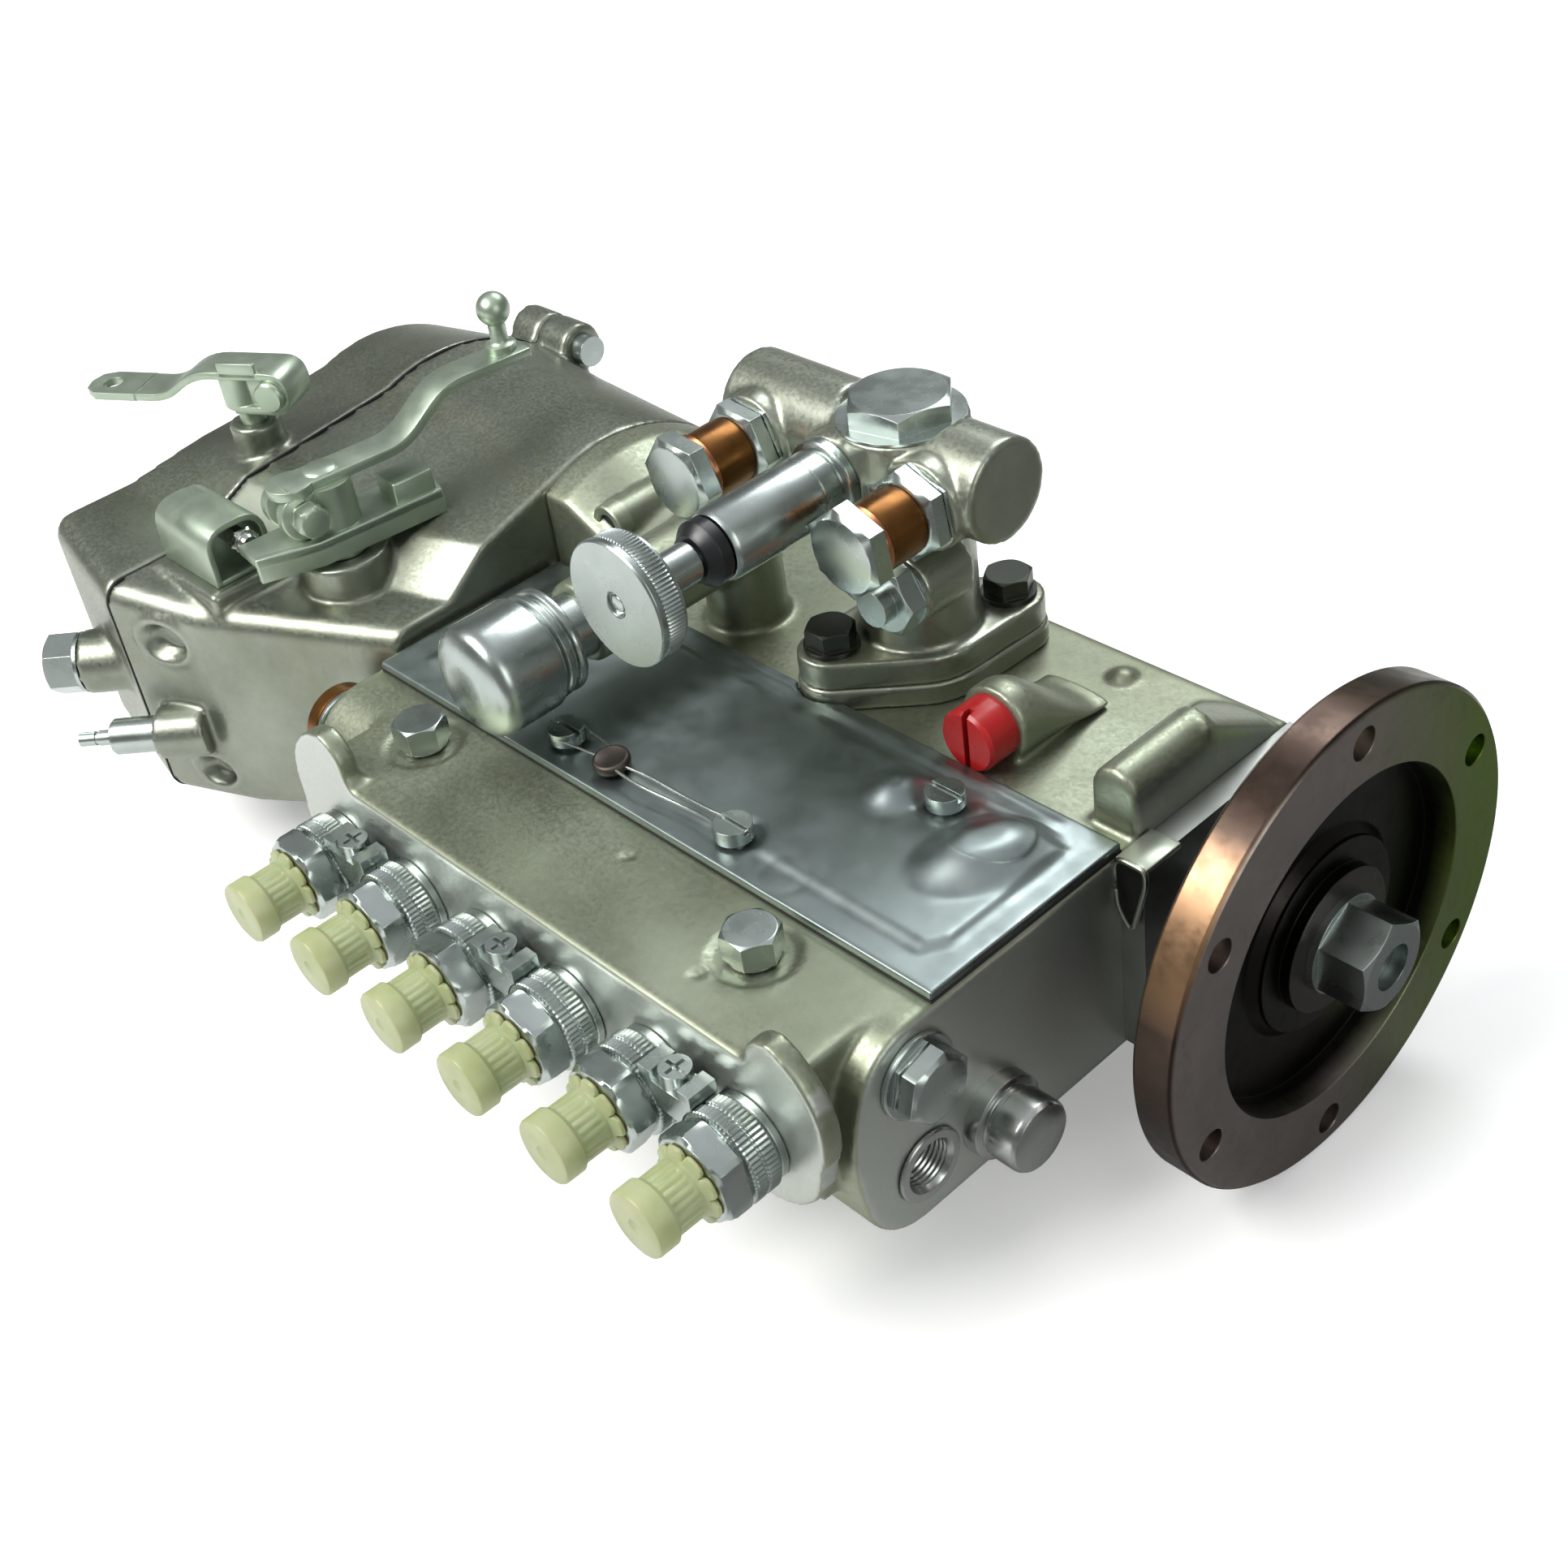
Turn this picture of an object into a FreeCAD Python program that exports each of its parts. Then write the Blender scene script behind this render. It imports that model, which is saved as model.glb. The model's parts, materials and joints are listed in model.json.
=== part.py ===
"""Six-element in-line diesel injection pump with governor and feed pump, in millimetres.

The origin is the centre of the coupling flange's outer face. +X runs along the camshaft and out
of the flange, -Y is the way the delivery valves point and +Z is the outward normal of the side
cover, on which the feed pump stands beside the cover.
"""
import FreeCAD, Part
import math
import os
import Sketcher
from FreeCAD import Placement, Rotation, Vector

ELEMENTS = 6
ROLLERS = 12

# Driving sizes, each with its name and its value
SIZES = (
    # Elements along the camshaft
    ("element_pitch", 32.0),
    ("first_element", -64.5),
    ("cam_base", 10.0),
    ("cam_lift", 8.0),
    ("cam_nose", 4.5),
    ("cam_width", 17.0),
    ("core_radius", 9.0),
    ("cam_gap", 0.15),
    ("running", 0.05),
    ("seat_gap", 0.02),
    # Tappets
    ("roller_radius", 8.0),
    ("roller_width", 11.0),
    ("roller_pin", 3.0),
    ("tappet_radius", 11.5),
    ("tappet_length", 22.0),
    ("tappet_skirt", 5.0),
    ("tappet_screw", 6.0),
    ("tappet_screw_height", 2.5),
    # Plungers, barrels and springs
    ("plunger_radius", 5.0),
    ("plunger_foot", 7.0),
    ("foot_height", 2.0),
    ("spring_radius", 12.3),
    ("spring_wire", 2.2),
    ("spring_coils", 4.0),
    ("seat_radius", 13.0),
    ("seat_height", 2.0),
    ("barrel_radius", 10.0),
    ("barrel_spigot", 8.0),
    ("sleeve_wall", 1.3),
    ("arm_radius", 21.0),
    ("arm_width", 3.0),
    ("arm_height", 4.0),
    ("arm_pin", 2.5),
    ("arm_swing", 50.0),
    ("slot_play", 0.25),
    # Pump housing, measured from the camshaft axis
    ("housing_front", -43.3),
    ("housing_rear", -258.0),
    ("side_face", 22.9),
    ("bottom_face", 38.9),
    ("rear_radius", 44.0),
    ("head_nose", 119.8),
    ("face_rise", 10.5),
    ("face_plate", 6.0),
    ("face_low", 19.4),
    ("ear_height", 32.7),
    ("left_ear_height", 37.0),
    ("cam_room", 19.0),
    ("web_top", 39.5),
    ("deck_low", 69.0),
    ("deck_high", 71.5),
    ("head_low", 83.0),
    ("room_depth", 30.0),
    ("wall", 8.0),
    ("rack_height", 76.0),
    ("rack_offset", 23.0),
    ("rack_radius", 5.0),
    ("rack_stroke", 17.75),
    ("port_height", 98.8),
    ("port_offset", 22.2),
    ("port_radius", 6.4),
    # Bearings, drive end
    ("bearing_outer", 20.0),
    ("bearing_inner", 8.5),
    ("bearing_width", 9.0),
    ("ring_wall", 3.4),
    ("end_plate", 7.0),
    ("end_plate_reach", 28.5),
    ("seal_radius", 15.0),
    ("hub_radius", 17.0),
    ("journal_radius", 8.2),
    ("thread_radius", 6.0),
    # Coupling flange
    ("flange_radius", 65.1),
    ("rim_width", 11.3),
    ("recess_radius", 45.9),
    ("recess_depth", 8.0),
    ("web_thickness", 6.0),
    ("collar_radius", 25.5),
    ("collar_step", 19.0),
    ("bolt_circle", 57.0),
    ("bolt_hole", 4.25),
    ("nut_flats", 22.0),
    ("nut_end", 12.8),
    # Side cover
    ("cover_front", 91.8),
    ("cover_back", 26.8),
    ("cover_right", -44.0),
    ("cover_left", -256.0),
    ("cover_thickness", 2.4),
    ("gasket", 0.8),
    ("emboss", 1.2),
    # Delivery valve holders, measured from the valve face
    ("holder_ring", 11.2),
    ("ring_height", 2.4),
    ("collar_knurl", 12.3),
    ("knurl_top", 10.8),
    ("holder_flats", 22.0),
    ("holder_hex_top", 18.6),
    ("outlet_radius", 6.8),
    ("outlet_top", 31.0),
    ("cap_top", 35.3),
    ("cap_disc", 8.6),
    ("cap_barrel", 7.6),
    ("cap_skirt", 9.4),
    # Feed pump, on its own axis beside the side cover
    ("feed_x", -134.0),
    ("feed_y", 2.0),
    ("stud_distance", 25.1),
    ("stud_angle", 65.3),
    ("foot_radius", 19.0),
    ("foot_ear", 9.5),
    ("adapter", 6.5),
    ("foot_plate", 8.0),
    ("feed_neck", 16.0),
    ("gallery_height", 87.0),
    ("gallery_radius", 13.5),
    ("gallery_right", 34.0),
    ("gallery_left", 54.0),
    ("plug_flats", 25.0),
    ("plug_rise", 17.0),
    ("banjo_right", 19.0),
    ("banjo_left", -41.0),
    ("banjo_flats", 21.0),
    ("primer_shift", -9.5),
    ("primer_radius", 9.5),
    ("primer_end", 56.0),
    ("knob_radius", 16.5),
    ("knob_end", 87.5),
    # Governor
    ("governor_split", -341.0),
    ("governor_back", -386.0),
    ("case_radius_front", 54.0),
    ("case_radius_back", 59.0),
    ("case_wall", 5.0),
    ("governor_middle", -312.0),
    ("box_front", 85.0),
    ("box_middle", 119.0),
    ("box_back", 130.0),
    ("box_top_front", 30.0),
    ("box_top_back", 38.5),
    ("box_low", 38.0),
    ("lever_x", -291.0),
    ("lever_y", -76.0),
    ("lever_swing", 45.0),
    ("lever_lean", 7.0),
    ("lever_reach", 70.0),
    ("lever_plate", 3.0),
    ("shaft_radius", 5.0),
    ("link_pin", 2.5),
    ("boss_top", 43.0),
    ("stop_x", -350.0),
    ("stop_y", -62.0),
    ("stop_boss_top", 60.0),
    ("stop_reach", 47.0),
    ("bracket_seat", 39.5),
    # Flyweights and sliding sleeve on the end of the camshaft
    ("tail_radius", 8.0),
    ("tail_end", -332.0),
    ("carrier_front", -262.0),
    ("weight_pin_x", -284.0),
    ("weight_pin_height", 26.0),
    ("weight_pin", 2.5),
    ("weight_width", 31.0),
    ("slide_flange_x", -287.1),
    ("slide_end", -320.5),
    ("pivot_x", -330.0),
    ("pivot_y", -58.0),
)


class Size(float):
    """A length that also carries the words which tie it to its cell."""

    def __new__(cls, value, words=None):
        made = float.__new__(cls, value)
        made.words = words or "(%r)" % float(value)
        return made

    def _joined(self, other, sign, value):
        right = other if isinstance(other, Size) else Size(other)
        return Size(value, "(%s %s %s)" % (self.words, sign, right.words))

    def __add__(self, other):
        return self._joined(other, "+", float(self) + float(other))

    def __sub__(self, other):
        return self._joined(other, "-", float(self) - float(other))

    def __mul__(self, other):
        return self._joined(other, "*", float(self) * float(other))

    def __truediv__(self, other):
        return self._joined(other, "/", float(self) / float(other))

    def __radd__(self, other):
        return Size(other) + self

    def __rsub__(self, other):
        return Size(other) - self

    def __rmul__(self, other):
        return Size(other) * self

    def __neg__(self):
        return Size(-float(self), "(0 - %s)" % self.words)


doc = FreeCAD.newDocument("injection_pump")
sheet = doc.addObject("Spreadsheet::Sheet", "sizes")


class Sizes:
    """The driving sizes by name."""


S = Sizes()
for row, (name, value) in enumerate(SIZES, 1):
    sheet.set("A%d" % row, name)
    sheet.set("B%d" % row, repr(value))
    sheet.setAlias("B%d" % row, name)
    setattr(S, name, Size(value, "sizes." + name))
doc.recompute()

NODES = []


def bind(target, prop, value):
    """Ties one property to its size."""
    if isinstance(value, Size):
        target.setExpression(prop, value.words)


def place(target, x=0.0, y=0.0, z=0.0, turn=None):
    """Puts an object's origin at a point, turned so that its own Z runs as asked."""
    target.Placement = Placement(Vector(x, y, z), turn or Rotation())
    for prop, value in (("x", x), ("y", y), ("z", z)):
        bind(target, "Placement.Base." + prop, value)
    return target


def facing(x, y, z):
    """The turn that lays a piece's own Z along a direction."""
    return Rotation(Vector(0, 0, 1), Vector(x, y, z))


UPRIGHT = facing(0, -1, 0)
ALONG_SHAFT = Rotation(Vector(0, 1, 0), 90)


def new_body(label, node=True):
    made = doc.addObject("PartDesign::Body", label)
    made.Label = label
    if node:
        NODES.append(made)
    return made


def new_sketch(body, plane="XY_Plane", offset=0.0, turn=0.0):
    """A sketch on one of the body's own planes, moved along its normal."""
    sketch = body.newObject("Sketcher::SketchObject", body.Label + "_sketch")
    planes = body.Origin.OriginFeatures
    sketch.AttachmentSupport = ([item for item in planes if item.Role == plane][0], [""])
    sketch.MapMode = "FlatFace"
    sketch.AttachmentOffset = Placement(Vector(0, 0, offset), Rotation(Vector(0, 0, 1), turn))
    bind(sketch, "AttachmentOffset.Base.z", offset)
    return sketch


def tilted_sketch(body, x, y, z, angle):
    """A sketch facing -Y at a point, swung about the upright through it."""
    sketch = new_sketch(body, "XZ_Plane")
    swing = Rotation(Vector(0, 1, 0), angle)
    sketch.AttachmentOffset = Placement(Vector(float(x), float(z), -float(y)), swing)
    return sketch


def pin(sketch, geometry, corner, point):
    """Holds a corner at its two distances from the sketch's origin."""
    for kind, value in (("DistanceX", point[0]), ("DistanceY", point[1])):
        number = sketch.addConstraint(Sketcher.Constraint(kind, -1, 1, geometry, corner, float(value)))
        bind(sketch, "Constraints[%d]" % number, value)


def outline(sketch, points):
    """A closed loop through its corners; a third number group after a corner bends the next side."""
    corners = [point for point in points if len(point) == 2]
    bends = {}
    count = 0
    for point in points:
        if len(point) == 3:
            bends[count - 1] = point[1:]
        else:
            count += 1
    first = sketch.GeometryCount
    ends = []
    for index, start in enumerate(corners):
        end = corners[(index + 1) % len(corners)]
        a = Vector(start[0], start[1], 0)
        b = Vector(end[0], end[1], 0)
        if index in bends:
            middle = Vector(bends[index][0], bends[index][1], 0)
            leftwards = (middle - a).cross(b - middle).z > 0
            sketch.addGeometry(Part.Arc(a, middle, b) if leftwards else Part.Arc(b, middle, a), False)
            ends.append((1, 2) if leftwards else (2, 1))
        else:
            sketch.addGeometry(Part.LineSegment(a, b), False)
            ends.append((1, 2))
    for index, start in enumerate(corners):
        after = (index + 1) % len(corners)
        sketch.addConstraint(Sketcher.Constraint(
            "Coincident", first + index, ends[index][1], first + after, ends[after][0]))
        pin(sketch, first + index, ends[index][0], start)
    return sketch


def circle(sketch, radius, x=0.0, y=0.0):
    number = sketch.addGeometry(Part.Circle(Vector(x, y, 0), Vector(0, 0, 1), float(radius)), False)
    pin(sketch, number, 3, (x, y))
    rule = sketch.addConstraint(Sketcher.Constraint("Radius", number, float(radius)))
    bind(sketch, "Constraints[%d]" % rule, radius)
    return sketch


def rectangle(sketch, x0, x1, y0, y1):
    return outline(sketch, [(x0, y0), (x1, y0), (x1, y1), (x0, y1)])


def hexagon(sketch, flats, x=0.0, y=0.0, turn=0.0):
    corner = flats / math.sqrt(3)
    angles = [math.radians(60 * side + turn) for side in range(6)]
    return outline(sketch, [(x + corner * math.cos(a), y + corner * math.sin(a)) for a in angles])


def pad(body, sketch, length, back=False):
    feature = body.newObject("PartDesign::Pad", body.Label + "_pad")
    feature.Profile = sketch
    feature.Length = float(length)
    bind(feature, "Length", length)
    feature.Reversed = back
    sketch.Visibility = False
    return feature


def pocket(body, sketch, depth, back=False):
    """Cuts against the sketch's normal, or along it where back is set."""
    feature = body.newObject("PartDesign::Pocket", body.Label + "_pocket")
    feature.Profile = sketch
    feature.Length = float(depth)
    bind(feature, "Length", depth)
    feature.Reversed = back
    return feature


def revolve(body, points, cut=False):
    """Turns a half profile of radius and height about the body's own Z."""
    sketch = outline(new_sketch(body, "XZ_Plane"), points)
    kind = "PartDesign::Groove" if cut else "PartDesign::Revolution"
    feature = body.newObject(kind, body.Label + "_turned")
    feature.Profile = sketch
    feature.ReferenceAxis = (sketch, ["V_Axis"])
    feature.Angle = 360
    return feature


def steps(*stages, start=0.0, bore=0.0):
    """The half profile of a stepped round piece: each stage is a radius and the height it ends at."""
    points = [(bore, start)]
    low = start
    for radius, top in stages:
        points += [(radius, low), (radius, top)]
        low = top
    return points + [(bore, low)]


def turned(label, profile, node=True):
    body = new_body(label, node)
    revolve(body, profile)
    return body


def hex_stage(body, flats, low, high, chamfer=True, turn=0.0):
    """A hexagon from one height to another, its outer corners turned off."""
    pad(body, hexagon(new_sketch(body, "XY_Plane", low), flats, turn=turn), high - low)
    if chamfer:
        flat = flats / 2
        corner = flats * 0.6
        drop = (corner - flat) * 0.58
        revolve(body, [(flat * 0.97, high), (corner, high - drop), (corner, high + 1), (flat * 0.97, high + 1)],
                cut=True)


def group(label, body, places, turn=None):
    """Copies of one piece at several places, as one node."""
    links = []
    for x, y, z in places:
        link = doc.addObject("App::Link", label + "_copy")
        link.LinkedObject = body
        place(link, x, y, z, turn)
        links.append(link)
    made = doc.addObject("Part::Compound", label)
    made.Label = label
    made.Links = links
    NODES.append(made)
    return made


# Heights of the element's pieces above the camshaft axis
ROLLER_HEIGHT = S.cam_base + S.cam_lift + S.cam_gap + S.roller_radius
TAPPET_LOW = ROLLER_HEIGHT - S.tappet_skirt
TAPPET_TOP = TAPPET_LOW + S.tappet_length
SCREW_TOP = TAPPET_TOP + S.tappet_screw_height
FOOT_TOP = SCREW_TOP + S.foot_height
LOWER_SEAT_TOP = FOOT_TOP + S.seat_height
UPPER_SEAT_LOW = S.deck_low - S.seat_height
SLEEVE_RADIUS = S.barrel_spigot + S.running + S.sleeve_wall
VALVE_FACE = S.head_nose + S.face_rise
PLUNGER_TOP = VALVE_FACE - 12.0
BARREL_TOP = VALVE_FACE - 9.0
PLUG_TOP = S.gallery_height + S.plug_rise


def element_x(index):
    return S.first_element - S.element_pitch * index


def housing_section():
    """The casting's cross-section on Y and Z, flat on the cover side and round behind the shaft."""
    top = math.asin(S.side_face / S.rear_radius)
    low = -math.asin(S.bottom_face / S.rear_radius)
    middle = (top + low) / 2
    nose = S.head_nose
    return [
        (-(nose - 17.8), -S.bottom_face),
        (0, -(nose - 6.6), -(S.bottom_face - 5.6)),
        (-(nose - 1.6), -(S.bottom_face - 17.3)),
        (0, -nose, -6.0),
        (-(nose - 3.6), S.side_face - 11.9),
        (0, -(nose - 8.2), S.side_face - 4.8),
        (-(nose - 19.5), S.side_face),
        (S.rear_radius * math.cos(top), S.side_face),
        (0, S.rear_radius * math.cos(middle), S.rear_radius * math.sin(middle)),
        (S.rear_radius * math.cos(low), -S.bottom_face),
    ]


def valve_face_outline():
    """The machined face with an ear at each end, on X and Z."""
    right = S.housing_front + 0.8
    left = S.cover_left + 10.0
    low = -S.face_low
    return [
        (right - 24.0, low),
        (0, right - 8.0, low + 5.0),
        (right - 0.3, 1.3),
        (0, right - 1.2, 24.0),
        (right - 11.5, S.ear_height),
        (0, right - 18.0, S.ear_height - 2.2),
        (right - 21.0, S.side_face + 1.0),
        (right - 22.5, S.side_face),
        (left + 30.5, S.side_face),
        (left + 28.0, S.side_face + 3.0),
        (0, left + 26.0, S.left_ear_height - 3.0),
        (left + 20.5, S.left_ear_height),
        (0, left + 7.5, S.left_ear_height - 7.0),
        (left + 1.0, 13.0),
        (left, 1.3),
        (0, left + 7.0, low + 5.0),
        (left + 24.0, low),
    ]


def make_housing():
    body = new_body("pump_housing")
    length = S.housing_front - S.housing_rear
    pad(body, outline(new_sketch(body, "YZ_Plane", S.housing_rear), housing_section()), length)
    plate_low = VALVE_FACE - S.face_plate
    pad(body, outline(new_sketch(body, "XZ_Plane", plate_low), valve_face_outline()), S.face_plate)
    block = new_sketch(body, "XZ_Plane", S.head_nose - 20.0)
    rectangle(block, S.cover_left + 19.0, S.housing_front - 8.0, -S.face_low, S.side_face)
    pad(body, block, plate_low - S.head_nose + 20.0)
    # Round boss for the vent plug, and the D-shaped boss beside the coupling
    pad(body, circle(new_sketch(body, "XZ_Plane", -16.0), 10.5, -93.0, 32.0), 32.0)
    boss = new_sketch(body, "XZ_Plane", -10.0)
    outline(boss, [(-57.0, 18.0), (-43.5, 18.0), (-43.5, 34.0), (0, -50.2, 41.0), (-57.0, 34.0)])
    pad(body, boss, 32.0)
    # Round flare towards the governor, cut away beside the side cover and under the casting
    near = circle(new_sketch(body, "YZ_Plane", S.housing_rear + 36.0), S.rear_radius - 1.0)
    wide = circle(new_sketch(body, "YZ_Plane", S.housing_rear + 10.0), S.case_radius_front)
    loft(body, wide, near)
    pad(body, circle(new_sketch(body, "YZ_Plane", S.housing_rear), S.case_radius_front), 10.0)
    beside = new_sketch(body, "YZ_Plane", S.housing_rear + 37.0)
    rectangle(beside, -70.0, 1.0 - S.cover_back, S.side_face, 70.0)
    rectangle(beside, -70.0, 70.0, -70.0, -S.bottom_face)
    pocket(body, beside, 37.0)
    # Elbow of the breather
    elbow = new_sketch(body, "XY_Plane", 10.0)
    pad(body, circle(elbow, 11.5, -192.0, -9.0), 40.0)
    neck = new_sketch(body, "XZ_Plane", -2.0)
    pad(body, circle(neck, 11.5, -192.0, 50.0), 68.0)
    # Cam room and bearing seats
    pocket(body, circle(new_sketch(body, "YZ_Plane", S.housing_front), S.cam_room), length)
    seat = S.bearing_outer + S.seat_gap
    pocket(body, circle(new_sketch(body, "YZ_Plane", S.housing_front), seat), S.bearing_width)
    pocket(body, circle(new_sketch(body, "YZ_Plane", S.housing_rear), seat), S.bearing_width, back=True)
    # Tappet bores, spring room, holes of the deck, rack room and barrel bores
    bores = new_sketch(body, "XZ_Plane", S.web_top)
    for index in range(ELEMENTS):
        circle(bores, S.tappet_radius + S.running, element_x(index), 0.0)
    pocket(body, bores, S.web_top - 6.0)
    right = S.housing_front - S.wall
    left = S.housing_rear + S.wall + 4.0
    spring_room = new_sketch(body, "XZ_Plane", S.deck_low)
    rectangle(spring_room, left, right, -15.0, S.side_face + 1.0)
    pocket(body, spring_room, S.deck_low - S.web_top)
    rack_room = new_sketch(body, "XZ_Plane", S.head_low)
    rectangle(rack_room, left, right, -S.room_depth, S.side_face + 1.0)
    pocket(body, rack_room, S.head_low - S.deck_high)
    deck = new_sketch(body, "XZ_Plane", S.deck_high)
    barrels = new_sketch(body, "XZ_Plane", VALVE_FACE)
    for index in range(ELEMENTS):
        circle(deck, SLEEVE_RADIUS + 0.6, element_x(index), 0.0)
        circle(barrels, S.barrel_radius + S.seat_gap, element_x(index), 0.0)
    pocket(body, deck, S.deck_high - S.deck_low)
    pocket(body, barrels, VALVE_FACE - S.head_low)
    # Rack bore through both ends, fuel gallery port and its threaded mouth
    rack = circle(new_sketch(body, "YZ_Plane", S.housing_front), S.rack_radius + S.running,
                  -S.rack_height, -S.rack_offset)
    pocket(body, rack, length)
    port = circle(new_sketch(body, "YZ_Plane", S.housing_front), S.port_radius + 1.6,
                  -S.port_height, -S.port_offset)
    pocket(body, port, 22.0)
    plug = circle(new_sketch(body, "YZ_Plane", S.housing_front), 7.0, -99.6, 8.0)
    pocket(body, plug, 12.0)
    bolt_holes = new_sketch(body, "XY_Plane", S.side_face)
    for x, y in HEAD_BOLTS:
        circle(bolt_holes, 4.0 + S.seat_gap, x, y)
    pocket(body, bolt_holes, 12.5)
    rear_plug = circle(new_sketch(body, "YZ_Plane", S.housing_rear), 7.0, -104.5, 10.0)
    pocket(body, rear_plug, 12.0, back=True)
    vent = circle(new_sketch(body, "XZ_Plane", 16.0), 5.0 + S.seat_gap, -93.0, 32.0)
    pocket(body, vent, 9.0)
    breath = circle(new_sketch(body, "XZ_Plane", 66.0), 7.02, -192.0, 50.0)
    pocket(body, breath, 40.0)
    # Feed pump's opening down to the cam
    feed = circle(new_sketch(body, "XY_Plane", S.side_face), 12.05, S.feed_x, S.feed_y)
    pocket(body, feed, S.side_face)
    return body


def make_side_cover():
    """Pressed cover over the spring room, on its gasket."""
    top = S.side_face + S.gasket
    gasket = new_body("side_cover_gasket")
    sketch = new_sketch(gasket, "XY_Plane", S.side_face)
    rectangle(sketch, S.cover_left, S.cover_right, -S.cover_front, -S.cover_back)
    rectangle(sketch, S.cover_left + 9.0, S.cover_right - 9.0, -(S.cover_front - 6.0), -(S.cover_back + 6.0))
    pad(gasket, sketch, S.gasket)
    cover = new_body("side_cover")
    plate = new_sketch(cover, "XY_Plane", top)
    rectangle(plate, S.cover_left, S.cover_right, -S.cover_front, -S.cover_back)
    pad(cover, plate, S.cover_thickness)
    panel = new_sketch(cover, "XY_Plane", top + S.cover_thickness)
    rectangle(panel, S.cover_left + 14.0, S.cover_right - 8.0, -(S.cover_front - 15.0), -(S.cover_back + 7.0))
    pad(cover, panel, S.emboss)
    dome = new_sketch(cover, "XY_Plane", top + S.cover_thickness)
    circle(dome, 11.0, -66.5, -46.9)
    pad(cover, dome, 3.0)
    screw_holes = new_sketch(cover, "XY_Plane", top + S.cover_thickness + S.emboss)
    for x, y in COVER_SCREWS:
        circle(screw_holes, 3.1, x, y)
    pocket(cover, screw_holes, S.cover_thickness + S.emboss + 1.0)
    # Both leave room for the feed pump's foot
    turn = math.radians(float(S.stud_angle))
    notch_x = S.feed_x - S.stud_distance * math.cos(turn)
    notch_y = S.feed_y - S.stud_distance * math.sin(turn)
    for piece, high in ((gasket, top), (cover, top + S.cover_thickness)):
        notch = circle(new_sketch(piece, "XY_Plane", high), S.foot_ear + 0.9, notch_x, notch_y)
        pocket(piece, notch, S.cover_thickness if piece is cover else S.gasket)


COVER_SCREWS = ((-182.1, -82.5), (-117.4, -82.5), (-85.4, -42.1))


def make_cover_screws():
    """Slotted cheese-head screws."""
    screw = turned("cover_screw", steps((5.0, 4.0), start=0.0), node=False)
    slot = new_sketch(screw, "XY_Plane", 4.0)
    rectangle(slot, -6.0, 6.0, -0.7, 0.7)
    pocket(screw, slot, 1.6)
    shank = new_sketch(screw, "XY_Plane", 0.0)
    circle(shank, 3.0)
    pad(screw, shank, 3.4, back=True)
    height = S.side_face + S.gasket + S.cover_thickness
    group("cover_screws", screw, [(x, y, height + S.emboss) for x, y in COVER_SCREWS])


def coil_shape(radius, wire, height):
    """A spring's wound wire, in short straight facets."""
    around = 14
    sides = 6
    count = int(around * S.spring_coils)
    rings = []
    for step in range(count + 1):
        turn = 2 * math.pi * step / around
        outward = Vector(math.cos(turn), math.sin(turn), 0)
        centre = outward * radius + Vector(0, 0, height * step / count)
        angles = [2 * math.pi * side / sides for side in range(sides)]
        rings.append([centre + outward * (wire * math.cos(a)) + Vector(0, 0, wire * math.sin(a)) for a in angles])
    faces = [Part.Face(Part.makePolygon(ring + ring[:1])) for ring in (rings[0], rings[-1])]
    for lower, upper in zip(rings, rings[1:]):
        for side in range(sides):
            after = (side + 1) % sides
            for corners in ((lower[side], lower[after], upper[side]), (lower[after], upper[after], upper[side])):
                faces.append(Part.Face(Part.makePolygon(list(corners) + [corners[0]])))
    solid = Part.Solid(Part.Shell(faces))
    return solid if solid.Volume > 0 else solid.reversed()


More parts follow.
